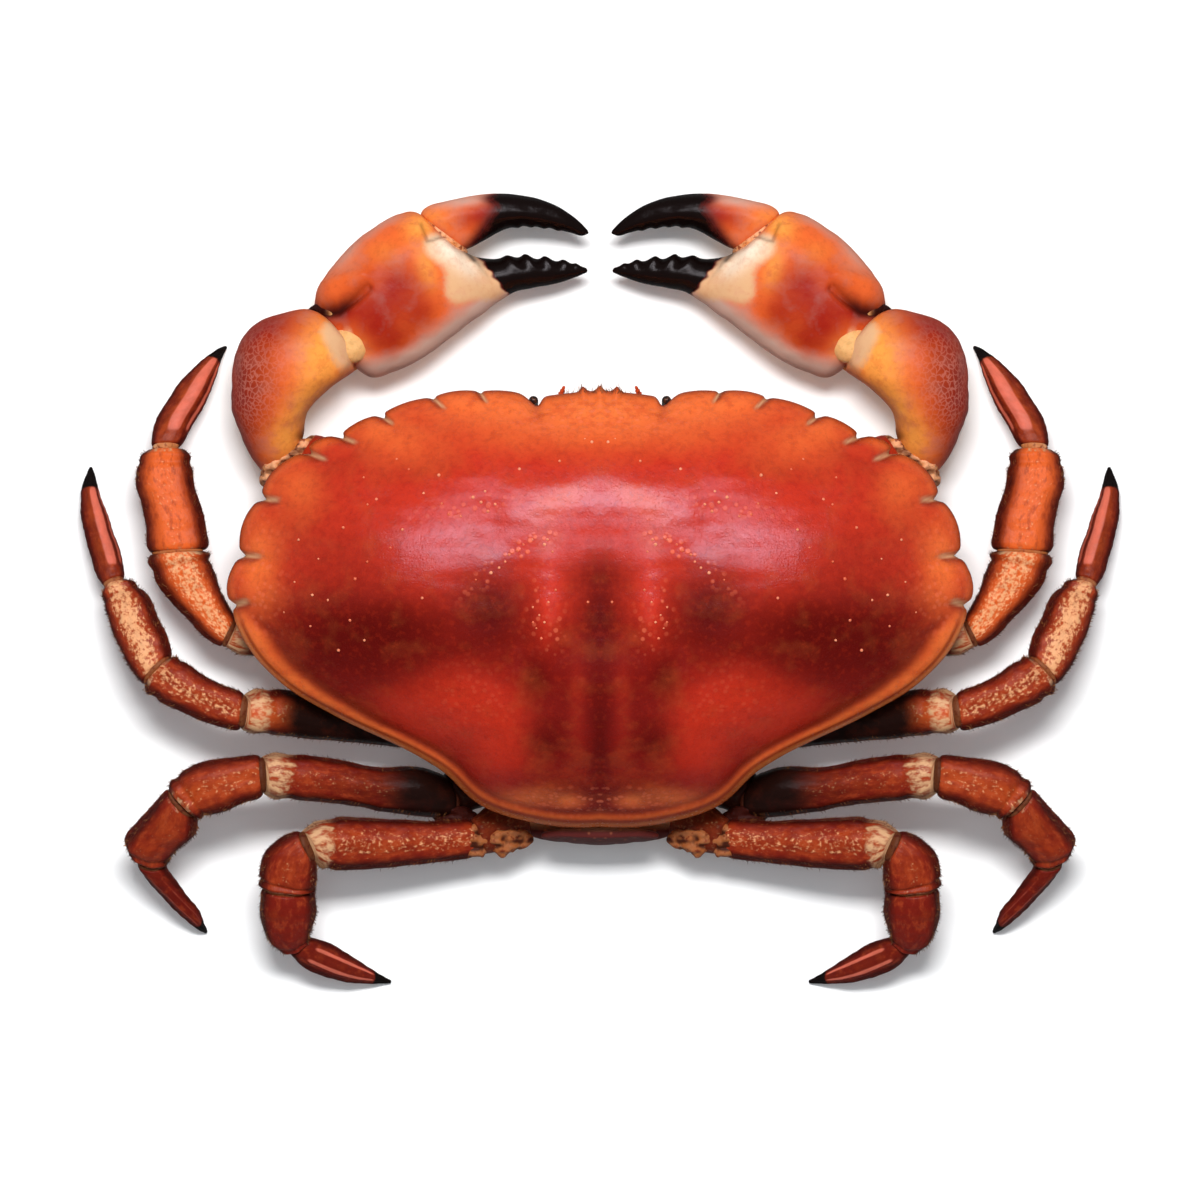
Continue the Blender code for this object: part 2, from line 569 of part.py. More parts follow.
def build_underside(shell, belly, eye, collection, parent):
    """The breast plate, the folded tail, the mouth plates, the eyes and the feelers."""
    low, high = STERNUM_SPAN
    cuts = [((0, 0, low), (0, 0, -1)), ((0, 0, high), (0, 0, 1))]
    side_cuts = [root_cut(number) for number in range(len(WALKING_LEGS))]
    side_cuts.append(CLAW_ROOT_CUT)
    for point, facing in side_cuts:
        cuts.append((point, facing))
        cuts.append(((-point[0], *point[1:]), (-facing[0], *facing[1:])))
    bm = limb(station_lines(STERNUM_STATIONS), 20, 12, 1, cuts, 2.6)
    place_object("sternum", bm, (0, 0, low), belly, collection, parent)
    bm = limb(station_lines(TAIL_STATIONS), 14, 20, 1, (), 3.2)
    place_object("tail_flap", bm, (0, -55, 20), belly, collection, parent)
    for side, side_name in ((-1, "left"), (1, "right")):
        small_pieces = (
            ("mouth_plate", MOUTH_PLATE_STATIONS, belly),
            ("eye", EYE_STATIONS, eye),
            ("antenna", ANTENNA_STATIONS, shell),
        )
        for piece_name, stations, material in small_pieces:
            bm = limb(station_lines(stations), 8, 6, side)
            x, y, z = stations[0][:3]
            place_object(f"{piece_name}_{side_name}", bm, (x * side, y, z), material, collection, parent)


def main():
    clear_scene()
    collection = bpy.data.collections.new("cooked_crab")
    bpy.context.scene.collection.children.link(collection)
    body = bpy.data.objects.new("crab_body", None)
    body.location = Vector(WHOLE_SHIFT) * MM
    collection.objects.link(body)
    carapace = finish_material("carapace_shell", SHELL_COLOUR, 0.28)
    claw = finish_material("claw_shell", CLAW_COLOUR, 0.32)
    finger = finish_material("claw_finger", FINGER_COLOUR, 0.25)
    leg_shell = finish_material("leg_shell", LEG_COLOUR, 0.4)
    belly = finish_material("belly_shell", BELLY_COLOUR, 0.4)
    eye = finish_material("eye_bead", EYE_COLOUR, 0.15)
    build_carapace(carapace, collection, body)
    build_underside(leg_shell, belly, eye, collection, body)
    for side, side_name in ((-1, "left"), (1, "right")):
        build_claw(side, side_name, claw, finger, collection, body)
        for number in range(len(WALKING_LEGS)):
            build_leg(number, side, side_name, leg_shell, collection, body)


main()
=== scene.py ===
"""Dresses the cooked crab's solid model: finished shell pieces, joint skins, bristles and a studio."""

import math
from functools import cached_property

import bmesh
import bpy
import numpy as np
from bpy.props import FloatProperty, FloatVectorProperty, IntProperty, PointerProperty
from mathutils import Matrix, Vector


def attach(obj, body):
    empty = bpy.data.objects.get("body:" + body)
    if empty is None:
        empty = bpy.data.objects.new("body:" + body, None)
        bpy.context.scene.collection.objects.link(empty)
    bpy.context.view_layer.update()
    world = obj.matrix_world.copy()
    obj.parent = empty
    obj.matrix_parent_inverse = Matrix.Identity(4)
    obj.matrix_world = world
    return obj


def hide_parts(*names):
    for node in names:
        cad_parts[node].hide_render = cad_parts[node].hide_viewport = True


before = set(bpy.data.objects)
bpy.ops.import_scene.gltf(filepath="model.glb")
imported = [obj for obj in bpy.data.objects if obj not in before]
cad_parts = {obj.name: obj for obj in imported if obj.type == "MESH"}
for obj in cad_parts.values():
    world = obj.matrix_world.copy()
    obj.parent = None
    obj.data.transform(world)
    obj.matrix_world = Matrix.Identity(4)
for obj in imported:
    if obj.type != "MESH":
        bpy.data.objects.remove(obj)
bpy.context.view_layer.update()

bl_info = {
    "name": "Cooked crab",
    "version": (1, 0, 0),
    "blender": (4, 5, 0),
    "location": "View3D > Sidebar > Crab",
    "description": "Builds a whole cooked brown crab over its solid model, and its studio stage",
    "category": "Add Mesh",
}

# Places are in millimetres, and Blender's unit is the metre.
MM = 0.001
# The plan is a drawing of the left half seen from above: its unit is 0.23 mm, its middle line is at
# 600 across, and its level 591 down is y = SHIFT in the frame. The picture is 1200 units wide.
PLAN_UNIT = 0.23
PLAN_MIDDLE = 600
PLAN_LEVEL = 591
PICTURE_WIDTH = 1200
SHIFT = -0.345
SIDES = (("left", -1), ("right", 1))


# Curves, soft steps and noise. The three numbers below scatter the noise's cells.
SCATTER = np.array([12.9898, 78.233, 37.719])
SCATTER_GAIN = 43758.5453
SEED_STEP = 4.13


def smooth(knots, values, at):
    """A smooth curve through values at the knots, read at the places in at."""
    knots = np.asarray(knots, float)
    values = np.asarray(values, float)
    slopes = np.gradient(values, knots, axis=0)
    i = np.clip(np.searchsorted(knots, at) - 1, 0, len(knots) - 2)
    span = knots[i + 1] - knots[i]
    u = (at - knots[i]) / span
    if values.ndim > 1:
        span, u = span[:, None], u[:, None]
    start = values[i] * (1 + 2 * u) * (1 - u) ** 2 + slopes[i] * span * u * (1 - u) ** 2
    end = values[i + 1] * u * u * (3 - 2 * u) + slopes[i + 1] * span * u * u * (u - 1)
    return start + end


def mirrored_curve(knots, values, direction):
    """A value that changes smoothly from the front (0) to the rear (180), alike on both sides."""
    other_side = [-knot for knot in knots[:0:-1]]
    return smooth([*other_side, *knots], [*values[:0:-1], *values], direction)


def step_up(value, low, high):
    """0 below low, 1 above high, and a soft step between."""
    t = np.clip((value - low) / (high - low), 0, 1)
    return t * t * (3 - 2 * t)


def bell(distance, width, power=2):
    """1 at no distance, falling softly to 0 beyond the width."""
    return np.exp(-((distance / width) ** power))


def unit(vectors):
    return vectors / np.maximum(np.linalg.norm(vectors, axis=-1, keepdims=True), 1e-9)


def mirror(points, side):
    """The points on the right side, or mirrored to the left one."""
    return points * np.array([side, 1.0, 1.0])


def rough(points, size, seed):
    """Smooth noise from -1 to 1, alike on both sides of the crab, with features about size mm wide."""
    place = points / size
    place[:, 0] = np.abs(place[:, 0])
    cell = np.floor(place)
    inside = place - cell
    inside = inside * inside * (3 - 2 * inside)
    total = np.zeros(len(points))
    for corner in np.ndindex(2, 2, 2):
        code = (cell + corner) @ SCATTER + seed * SEED_STEP
        value = np.modf(np.sin(code) * SCATTER_GAIN)[0]
        total += value * np.prod(np.where(corner, inside, 1 - inside), axis=1)
    return total


# Places on the plan.


def on_plan(points):
    """Where points lie on the plan of the left half."""
    return PLAN_MIDDLE - np.abs(points[:, 0]) / PLAN_UNIT, PLAN_LEVEL - (points[:, 1] - SHIFT) / PLAN_UNIT


def patches(u, v, spots, power=2.0):
    """How strongly soft spots cover the plan: across, down, reach across, reach down, turn, strength."""
    clear = np.ones_like(u)
    for across, down, reach_u, reach_v, turn, strength in spots:
        c, s = math.cos(math.radians(turn)), math.sin(math.radians(turn))
        a = ((u - across) * c + (v - down) * s) / reach_u
        b = ((v - down) * c - (u - across) * s) / reach_v
        clear *= 1 - strength * np.exp(-((a * a + b * b) ** (power / 2)))
    return 1 - clear


def along_path(u, v, path, width):
    """1 on a line drawn through several points of the plan, falling to 0 beyond its width."""
    nearest = np.full_like(u, np.inf)
    for start, end in zip(np.array(path[:-1], float), np.array(path[1:], float)):
        way = end - start
        t = np.clip(((u - start[0]) * way[0] + (v - start[1]) * way[1]) / (way @ way), 0, 1)
        nearest = np.minimum(nearest, np.hypot(u - start[0] - t * way[0], v - start[1] - t * way[1]))
    return bell(nearest, width)


def plan_lines(lines):
    """Lines drawn on the plan, as across, down of both ends, height and half depth."""
    lines = np.asarray(lines, float)
    outer = np.stack([PLAN_MIDDLE - lines[:, 0], PLAN_LEVEL - lines[:, 1]], axis=1) * PLAN_UNIT
    inner = np.stack([PLAN_MIDDLE - lines[:, 2], PLAN_LEVEL - lines[:, 3]], axis=1) * PLAN_UNIT
    outer[:, 1] += SHIFT
    inner[:, 1] += SHIFT
    return np.concatenate([(outer + inner) / 2, lines[:, 4:5], (inner - outer) / 2, lines[:, 5:]], axis=1)


def station_lines(stations):
    """Lines of a body whose stations are middle, half width and half depth."""
    stations = np.asarray(stations, float)
    stations[:, 1] += SHIFT
    forward = np.gradient(stations[:, :3], axis=0)
    half = unit(np.cross(forward, (0.0, 0.0, 1.0))) * stations[:, 3:4]
    return np.concatenate([stations[:, :3], half[:, :2], stations[:, 4:]], axis=1)


# Meshes and pieces.


def sphere_grid(columns, rings):
    """A closed ball mesh, with the column and the ring of each vertex."""
    bm = bmesh.new()
    bmesh.ops.create_grid(bm, x_segments=columns, y_segments=rings, size=1.0)
    flat = np.array([v.co for v in bm.verts])
    turn, climb = flat[:, 0] * math.pi, (flat[:, 1] + 1) * math.pi / 2
    ball = np.stack([np.cos(turn) * np.sin(climb), np.sin(turn) * np.sin(climb), -np.cos(climb)], axis=1)
    for vertex, point in zip(bm.verts, ball.tolist()):
        vertex.co = point
    bmesh.ops.remove_doubles(bm, verts=bm.verts, dist=1e-5)
    points = np.array([v.co for v in bm.verts])
    ring = np.round(np.arccos(np.clip(-points[:, 2], -1, 1)) / math.pi * rings).astype(int)
    turn = np.arctan2(points[:, 1], points[:, 0]) / (2 * math.pi)
    column = np.round(turn * columns).astype(int) % columns
    return bm, column, ring


def add_copies(whole, bm, count=1):
    """Adds copies of a small mesh to a whole one, frees the small one and gives its points."""
    template = bpy.data.meshes.new("template")
    bm.to_mesh(template)
    bm.free()
    for _ in range(count):
        whole.from_mesh(template)
    points = np.array([v.co for v in template.vertices])
    bpy.data.meshes.remove(template)
    return points


def make_piece(name, bm, points, material, node, fields=None):
    """Turns a mesh and its points, in millimetres, into a finished piece that rides on the crab."""
    for vertex, point in zip(bm.verts, (points * MM).tolist()):
        vertex.co = point
    bmesh.ops.recalc_face_normals(bm, faces=bm.faces)
    if bm.calc_volume(signed=True) < 0:
        bmesh.ops.reverse_faces(bm, faces=bm.faces)
    mesh = bpy.data.meshes.new(name)
    bm.to_mesh(mesh)
    bm.free()
    for field, values in (fields or {}).items():
        values = np.asarray(values, np.float32)
        kind, key = ("FLOAT_VECTOR", "vector") if values.ndim == 2 else ("FLOAT", "value")
        mesh.attributes.new(field, kind, "POINT").data.foreach_set(key, values.ravel())
    mesh.materials.append(material)
    mesh.shade_smooth()
    piece = bpy.data.objects.new(name, mesh)
    bpy.context.scene.collection.objects.link(piece)
    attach(piece, "root")
    if node:
        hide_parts(node)


def make_pair(name, limb, material, node, fields=None):
    """A limb's finished piece on both sides; {} in a name stands for the side."""
    for side_name, side in SIDES:
        piece_name, piece_node = name.format(side_name), node.format(side_name)
        points = mirror(limb.points, side)
        make_piece(piece_name, limb.bm.copy(), points, material, piece_node, fields)
    limb.bm.free()


# How much a limb's rings crowd to its ends, and how far along it its direction is taken, as shares.
END_CROWDING = 0.35
LOOK_AHEAD = 0.02
# A limb's least half width, in mm, and its way round as a multiple of its half width.
LEAST_HALF = 0.3
ROUND_WAY = 5.5
# The span of the numbers that tell one limb's pattern from another's.
LIMB_SEEDS = 37


class Limb:
    """The surface of a body swept along lines across it, with the share and the angle of each point.

    A line is the x, y, z of its middle, the x, y of half the line, and half the depth.
    """

    def __init__(self, lines, columns, rings, squareness=2.2, end_power=9.0):
        self.lines = np.asarray(lines, float)
        self.bm, column, ring = sphere_grid(columns, rings)
        t = ring / rings
        self.share = END_CROWDING * (1 - np.cos(t * math.pi)) / 2 + (1 - END_CROWDING) * t
        self.angle = column / columns * 2 * math.pi
        steps = np.linalg.norm(np.diff(self.lines[:, :3], axis=0), axis=1)
        self.length = steps.sum()
        knots = np.concatenate([[0], np.cumsum(steps)]) / self.length
        section = smooth(knots, self.lines, self.share)
        ahead = smooth(knots, self.lines[:, :3], np.minimum(self.share + LOOK_AHEAD, 1.0))
        behind = smooth(knots, self.lines[:, :3], np.maximum(self.share - LOOK_AHEAD, 0.0))
        half_line = np.concatenate([section[:, 3:5], np.zeros((len(self.share), 1))], axis=1)
        sideways = unit(half_line)
        along = ahead - behind
        self.along = unit(along - sideways * np.sum(along * sideways, axis=1)[:, None])
        upwards = np.cross(self.along, sideways)
        upwards *= 1 if upwards[:, 2].mean() > 0 else -1
        self.inside = np.maximum(1 - np.abs(2 * self.share - 1) ** end_power, 0) ** (1 / end_power)
        bend = 2 / squareness
        self.across, self.up = np.cos(self.angle), np.sin(self.angle)
        across = np.sign(self.across) * np.abs(self.across) ** bend
        up = np.sign(self.up) * np.abs(self.up) ** bend
        self.half_width = np.linalg.norm(half_line, axis=1)
        width = self.half_width * self.inside
        depth = section[:, 5] * self.inside
        self.outward = unit(sideways * (across / np.maximum(width, LEAST_HALF))[:, None]
                            + upwards * (up / np.maximum(depth, LEAST_HALF))[:, None])
        self.points = section[:, :3] + sideways * (width * across)[:, None] + upwards * (depth * up)[:, None]

    def push(self, height):
        """Moves the surface outwards by a height in millimetres, less at the two ends."""
        self.points = self.points + self.outward * (height * np.clip(self.inside, 0, 1) ** 4)[:, None]

    def follow(self):
        """A place on the surface for patterns that run along the limb: along, round, and which limb."""
        round_way = self.angle / (2 * math.pi) * (self.half_width.mean() * ROUND_WAY)
        seed = np.full_like(self.share, self.lines[:, 0].sum() % LIMB_SEEDS)
        return np.stack([self.share * self.length, round_way, seed], axis=1)


# Materials.


def screen(red, green, blue):
    """A colour given as on a screen, from 0 to 255, as the linear values that Blender mixes."""
    return tuple(((value / 255 + 0.055) / 1.055) ** 2.4 if value > 10 else value / 3295
                 for value in (red, green, blue))


class Paint:
    """A material in the making: its noise, the painted fields it reads, and how they are mixed.

    A value may be a number or another node's output. Places are in millimetres.
    """

    def __init__(self, name, place_field=None):
        self.material = bpy.data.materials.new(name)
        self.material.use_nodes = True
        self.tree = self.material.node_tree
        self.shader = self.tree.nodes["Principled BSDF"]
        self.place_field = place_field

    @cached_property
    def place(self):
        """Where the noise is read: a field of the piece, or else the same place on both sides."""
        if self.place_field:
            return self.node("ShaderNodeAttribute", attribute_name=self.place_field).outputs["Vector"]
        return self.mirrored_place()

    def feed(self, node, inputs):
        for key, value in inputs.items():
            if isinstance(value, bpy.types.NodeSocket):
                self.tree.links.new(value, node.inputs[key])
            else:
                node.inputs[key].default_value = value

    def node(self, kind, inputs=None, **settings):
        """A node with its settings and its inputs, by name or number."""
        node = self.tree.nodes.new(kind)
        for key, value in settings.items():
            setattr(node, key, value)
        self.feed(node, inputs or {})
        return node

    def vector(self, operation, inputs):
        return self.node("ShaderNodeVectorMath", inputs, operation=operation).outputs[0]

    def mirrored_place(self):
        """Object coordinates, with x the same on both sides of the crab."""
        grown = self.vector("SCALE", {0: self.node("ShaderNodeTexCoord").outputs["Object"], "Scale": 1 / MM})
        even = self.node("ShaderNodeSeparateXYZ", {0: self.vector("ABSOLUTE", {0: grown})})
        whole = self.node("ShaderNodeSeparateXYZ", {0: grown})
        parts = {"X": even.outputs["X"], "Y": whole.outputs["Y"], "Z": whole.outputs["Z"]}
        return self.node("ShaderNodeCombineXYZ", parts).outputs[0]

    def field(self, name):
        """The value of a painted field of the piece."""
        return self.node("ShaderNodeAttribute", attribute_name=name).outputs["Fac"]

    def maths(self, operation, a, b, clamp=False):
        return self.node("ShaderNodeMath", {0: a, 1: b}, operation=operation, use_clamp=clamp).outputs[0]

    def times(self, a, b):
        return self.maths("MULTIPLY", a, b)

    def plus(self, a, b):
        return self.maths("ADD", a, b)

    def step(self, value, low, high):
        """0 at low, 1 at high."""
        inputs = {"Value": value, "From Min": low, "From Max": high}
        return self.node("ShaderNodeMapRange", inputs, interpolation_type="SMOOTHSTEP").outputs[0]

    def cloud(self, size, detail=3.0, roughness=0.55, stretch=None):
        """Smooth noise from 0 to 1 with features about size mm wide."""
        place = self.vector("MULTIPLY", {0: self.place, 1: stretch}) if stretch else self.place
        inputs = {"Vector": place, "Scale": 1 / size, "Detail": detail, "Roughness": roughness}
        return self.node("ShaderNodeTexNoise", inputs).outputs["Fac"]

    def grains(self, size, feature="F1", place=None):
        """Distance to the nearest of many scattered grains about size mm apart."""
        inputs = {"Vector": place or self.place, "Scale": 1 / size}
        return self.node("ShaderNodeTexVoronoi", inputs, feature=feature).outputs["Distance"]

    def stirred_place(self, size, reach):
        """The place shifted by noise, so that a regular pattern wanders."""
        noise = self.node("ShaderNodeTexNoise", {"Vector": self.place, "Scale": 1 / size})
        shift = self.vector("SCALE", {0: noise.outputs["Color"], "Scale": reach})
        return self.vector("ADD", {0: self.place, 1: shift})

    def broken(self, name, cloud, amount):
        """A painted field whose borders are broken up by noise."""
        wobble = self.times(self.maths("SUBTRACT", cloud, 0.5), amount)
        return self.maths("ADD", self.field(name), wobble, clamp=True)

    def layers(self, colour, *coats):
        """Lays coats of colour over each other; each coat is how strongly it covers, and its colour."""
        for cover, over in coats:
            under = colour if isinstance(colour, bpy.types.NodeSocket) else (*colour, 1.0)
            inputs = {0: cover, 6: under, 7: (*over, 1.0)}
            colour = self.node("ShaderNodeMix", inputs, data_type="RGBA", clamp_factor=True).outputs[2]
        return colour

    def finish(self, colour, roughness, relief=None, **others):
        """Sets the shader's inputs; relief is a height, its strength and its distance in metres."""
        inputs = {"Base Color": colour, "Roughness": roughness}
        for key, value in others.items():
            inputs[key.replace("_", " ")] = value
        if relief:
            height, strength, distance = relief
            bump = self.node("ShaderNodeBump", {"Height": height, "Strength": strength, "Distance": distance})
            inputs["Normal"] = bump.outputs[0]
        self.feed(self.shader, inputs)
        return self.material


def colour_setting(name, description, *colour):
    return FloatVectorProperty(name=name, description=description, subtype="COLOR",
                               default=screen(*colour), min=0, max=1)


def length_setting(name, description, default, low, high):
    return FloatProperty(name=name, description=description, unit="LENGTH",
                         default=default, min=low, max=high)


class CrabColours(bpy.types.PropertyGroup):
    """The colours of the cooked shell."""

    red: colour_setting("Shell red", "Main colour of the back", 184, 46, 28)
    deep: colour_setting("Deep red", "The back's dark areas", 82, 8, 5)
    orange: colour_setting("Orange", "The back's front and its edge", 240, 116, 54)
    cream: colour_setting("Cream", "Bare, pale shell", 216, 168, 124)
    black: colour_setting("Black", "The tips of the claws and legs", 16, 8, 7)


class CrabSizes(bpy.types.PropertyGroup):
    """The sizes that a user would change."""

    crown: length_setting("Crown height", "Height of the back above the ground", 0.057, 0.05, 0.06)
    edge: length_setting("Edge thickness", "Thickness of the back's crimped edge", 0.0022, 0.001, 0.004)
    bristle: length_setting("Bristle length", "Length of the legs' bristles", 0.0009, 0.0004, 0.003)
    fineness: IntProperty(name="Back fineness", description="Columns of the back's mesh",
                          default=864, min=96, max=960)


def back_material(colours):
    """The back: glossy red shell with dark areas, an orange edge, pale cracks and specks."""
    paint = Paint("cooked_back_shell")
    wide = paint.cloud(8.0, 5.0, 0.6)
    fine = paint.cloud(1.5, 5.0, 0.65)
    grain = paint.cloud(0.55, 3.0, 0.6)
    blotch = paint.step(paint.cloud(3.4, 6.0, 0.68), 0.47, 0.62)
    orange = paint.broken("orange", wide, 0.45)
    dots = paint.step(paint.grains(0.95), 0.30, 0.10)
    specks = paint.times(paint.step(paint.grains(1.7), 0.42, 0.22), paint.field("speck"))
    colour = paint.layers(
        tuple(colours.red),
        (paint.field("low"), screen(128, 22, 15)),
        (paint.field("flank"), screen(170, 52, 28)),
        (paint.broken("bright", fine, 0.5), screen(192, 46, 26)),
        (paint.times(blotch, 0.20), screen(150, 26, 16)),
        (paint.broken("deep", wide, 0.42), tuple(colours.deep)),
        (paint.times(paint.step(fine, 0.50, 0.34), 0.09), screen(214, 62, 30)),
        (orange, tuple(colours.orange)),
        (paint.times(orange, paint.times(blotch, 0.42)), screen(200, 62, 30)),
        (paint.field("dusk"), screen(104, 38, 18)),
        (paint.times(paint.step(fine, 0.46, 0.70), 0.24), screen(98, 14, 9)),
        (paint.times(dots, 0.10), screen(80, 14, 10)),
        (paint.times(specks, 0.80), screen(232, 112, 78)),
        # Painted shade in the gaps between the edge's lobes and in the rim's groove, and a dark line inside
        # the rim's edge.
        (paint.field("seam_and_gap_shade"), screen(112, 28, 16)),
        (paint.field("gleam"), screen(238, 142, 78)),
        (paint.field("cream"), tuple(colours.cream)),
    )
    relief = paint.plus(paint.times(dots, -0.15), paint.times(fine, 0.8))
    relief = paint.plus(relief, paint.times(specks, 0.8))
    relief = paint.plus(relief, paint.times(grain, 0.25))
    gloss = paint.plus(paint.times(paint.broken("gloss", wide, 0.7), 0.5), 0.18)
    return paint.finish(colour, paint.plus(paint.times(fine, 0.14), 0.19), (relief, 0.26, 0.0004),
                        Specular_IOR_Level=gloss, Specular_Tint=(0.66, 0.80, 1.0, 1))


def pimple_material():
    """The back's small pimples: paler than the shell."""
    paint = Paint("pale_pimples")
    pale = paint.step(paint.cloud(6.0, 2.0), 0.35, 0.7)
    return paint.finish(paint.layers(screen(214, 96, 64), (pale, screen(232, 150, 112))), 0.35)


def claw_material(colours):
    """The claws: smooth orange shell with red, cream, rosy and black areas, a pale net, painted shade in the
    creases and a painted sheen on the finger.
    """
    paint = Paint("cooked_claw_shell")
    wide = paint.cloud(6.0, 5.0, 0.6)
    fine = paint.cloud(1.4, 5.0, 0.65)
    cream = paint.step(paint.broken("cream", fine, 0.45), 0.18, 0.78)
    blotch = paint.times(paint.step(paint.cloud(3.0, 5.0, 0.65), 0.48, 0.64), 0.30)
    black = paint.step(paint.broken("black", fine, 0.5), 0.30, 0.75)
    mottle = paint.step(fine, 0.46, 0.72)
    net = paint.field("net")
    cracks = paint.grains(1.35, "DISTANCE_TO_EDGE", paint.stirred_place(1.6, 1.6))
    threads = paint.times(paint.step(cracks, 0.16, 0.0), net)
    colour = paint.layers(
        screen(224, 98, 44),
        (paint.broken("gold", wide, 0.4), screen(242, 158, 70)),
        (blotch, screen(206, 72, 32)),
        (paint.broken("dark", wide, 0.5), screen(148, 28, 16)),
        (paint.times(mottle, 0.22), screen(150, 44, 20)),
        # Pink colour on the palm and along its lower edge, and a painted sheen along the finger's upper edge.
        (paint.broken("pink_and_sheen", wide, 0.7), screen(204, 168, 152)),
        (cream, tuple(colours.cream)),
        (paint.times(cream, paint.field("pale")), screen(242, 222, 200)),
        (paint.times(cream, blotch), screen(212, 150, 120)),
        (paint.times(cream, paint.times(mottle, 0.35)), screen(206, 140, 98)),
        (paint.times(net, 0.34), screen(92, 22, 18)),
        (paint.times(threads, 0.46), screen(206, 128, 112)),
        (paint.step(paint.field("black"), 0.04, 0.5), screen(92, 30, 26)),
        # Painted shade in the claws' creases.
        (paint.field("crease_shade"), screen(52, 12, 7)),
        (black, tuple(colours.black)),
    )
    roughness = paint.maths("SUBTRACT", paint.plus(paint.times(fine, 0.2), 0.22), paint.times(black, 0.10))
    relief = paint.plus(paint.times(fine, 0.6), wide)
    return paint.finish(colour, roughness, (relief, 0.3, 0.0004), Specular_Tint=(1.0, 0.92, 0.92, 1),
                        Specular_IOR_Level=paint.plus(paint.times(black, 0.10), 0.14))


def leg_material(colours):
    """The legs: dark red shell, warmer along the middle, with gold flecks and black tips."""
    paint = Paint("cooked_leg_shell", "follow")
    wide = paint.cloud(3.5, 4.0, 0.6)
    streak = paint.cloud(1.3, 5.0, 0.65, (0.45, 1.0, 1.0))
    fleck = paint.cloud(0.65, 5.0, 0.65, (0.7, 1.0, 1.0))
    speckle = paint.step(paint.broken("speckle", fleck, 1.8), 0.50, 0.85)
    colour = paint.layers(
        screen(116, 25, 14),
        (paint.broken("warm", wide, 0.55), screen(218, 94, 36)),
        (paint.times(paint.step(streak, 0.50, 0.34), 0.34), screen(186, 78, 40)),
        (paint.times(paint.step(streak, 0.46, 0.70), 0.45), screen(118, 24, 11)),
        (paint.times(speckle, 0.85), screen(234, 172, 122)),
        (paint.step(paint.broken("stripe", streak, 0.5), 0.30, 0.70), screen(214, 106, 84)),
        (paint.step(paint.broken("cream", streak, 1.5), 0.42, 0.80), tuple(colours.cream)),
        # Dark colour, with painted shade along the legs' side edges and near the body.
        (paint.broken("dark", streak, 0.7), screen(60, 12, 7)),
        # Painted shade under the back, over the legs' own dark colour near the body.
        (paint.broken("dark_and_shade", wide, 0.4), screen(26, 10, 7)),
        (paint.step(paint.broken("black", fleck, 0.4), 0.40, 0.65), tuple(colours.black)),
    )
    relief = paint.plus(paint.times(streak, 0.9), paint.times(fleck, 0.6))
    return paint.finish(colour, paint.plus(paint.times(streak, 0.24), 0.2), (relief, 0.7, 0.0003),
                        Specular_IOR_Level=0.2)


def belly_material(colours):
    """The underside: cream shell with orange seams and small spots."""
    paint = Paint("cooked_belly_shell")
    fine = paint.cloud(1.3, 4.0)
    spots = paint.step(paint.grains(1.9), 0.28, 0.12)
    colour = paint.layers(
        tuple(colours.cream),
        (paint.step(paint.cloud(8.0, 4.0), 0.35, 0.75), (0.80, 0.34, 0.13)),
        # On the underside: the seams' own colour.
        (paint.broken("seam_and_gap_shade", fine, 0.5), (0.42, 0.10, 0.04)),
        (paint.field("dark"), (0.10, 0.014, 0.012)),
        (paint.times(spots, 0.5), (0.48, 0.14, 0.06)),
    )
    return paint.finish(colour, paint.plus(paint.times(fine, 0.2), 0.3), (fine, 0.3, 0.0003))


def skin_material():
    """The soft joint skins: cream to yellow-brown, with a little light sinking in."""
    paint = Paint("cooked_joint_skin")
    fine = paint.cloud(1.2, 4.0, 0.6)
    colour = paint.layers(
        screen(224, 160, 116),
        (paint.step(paint.cloud(2.2, 4.0, 0.6), 0.40, 0.62), screen(206, 128, 74)),
        (paint.field("rust"), screen(158, 84, 38)),
        (paint.step(fine, 0.50, 0.66), screen(126, 50, 26)),
        (paint.field("plain"), screen(230, 178, 112)),
        # Dark joint rings, darker undersides, and painted shade in the hole, the wrist's fold and the folds'
        # crevices.
        (paint.field("dark"), screen(50, 14, 9)),
    )
    return paint.finish(colour, 0.5, (fine, 0.5, 0.0004), Specular_IOR_Level=0.2,
                        Subsurface_Weight=0.1, Subsurface_Radius=(0.002, 0.0008, 0.0004))


def bristle_material():
    """The bristles: brown, paler here and there."""
    paint = Paint("brown_bristles")
    pale = paint.step(paint.cloud(3.0, 2.0), 0.42, 0.7)
    return paint.finish(paint.layers(screen(70, 24, 12), (pale, screen(168, 110, 62))), 0.5)


def eye_material():
    """The eyes: black beads with a brown haze."""
    paint = Paint("black_eye_bead")
    haze = paint.step(paint.cloud(0.8, 3.0), 0.45, 0.8)
    return paint.finish(paint.layers((0.012, 0.008, 0.008), (haze, (0.16, 0.05, 0.02))), 0.18)


# The back. Its outline is a distance from its middle for each direction, in degrees from the front.
SHELL_MIDDLE = (0.0, -4.4)
OUTLINE_DIRECTIONS = (
    0.0, 10.4, 14.5, 19.6, 24.5, 28.8, 38.2, 48.3, 56.2, 61.6,
    71.7, 81.3, 89.2, 96.5, 102.7, 110.9, 122.2, 135.0, 148.4, 161.7, 180.0,
)
OUTLINE_DISTANCES = (
    50.4, 50.5, 50.9, 52.8, 55.2, 57.3, 62.1, 67.4, 72.0, 76.4,
    81.9, 83.5, 84.7, 81.0, 75.4, 66.5, 57.0, 52.0, 52.7, 51.4, 49.9,
)
NOTCHES = (19.6, 28.8, 38.2, 48.3, 56.2, 61.6, 71.7, 81.3, 89.2)
LOBE_BULGES = (0.3, 0.7, 0.7, 1.0, 1.6, 1.9, 1.6, 1.4)
BROW_TEETH = (0.0, 4.4)
# The hollow for the eye: direction, depth, half angle.
EYE_HOLLOW = (17.2, 2.6, 1.8)
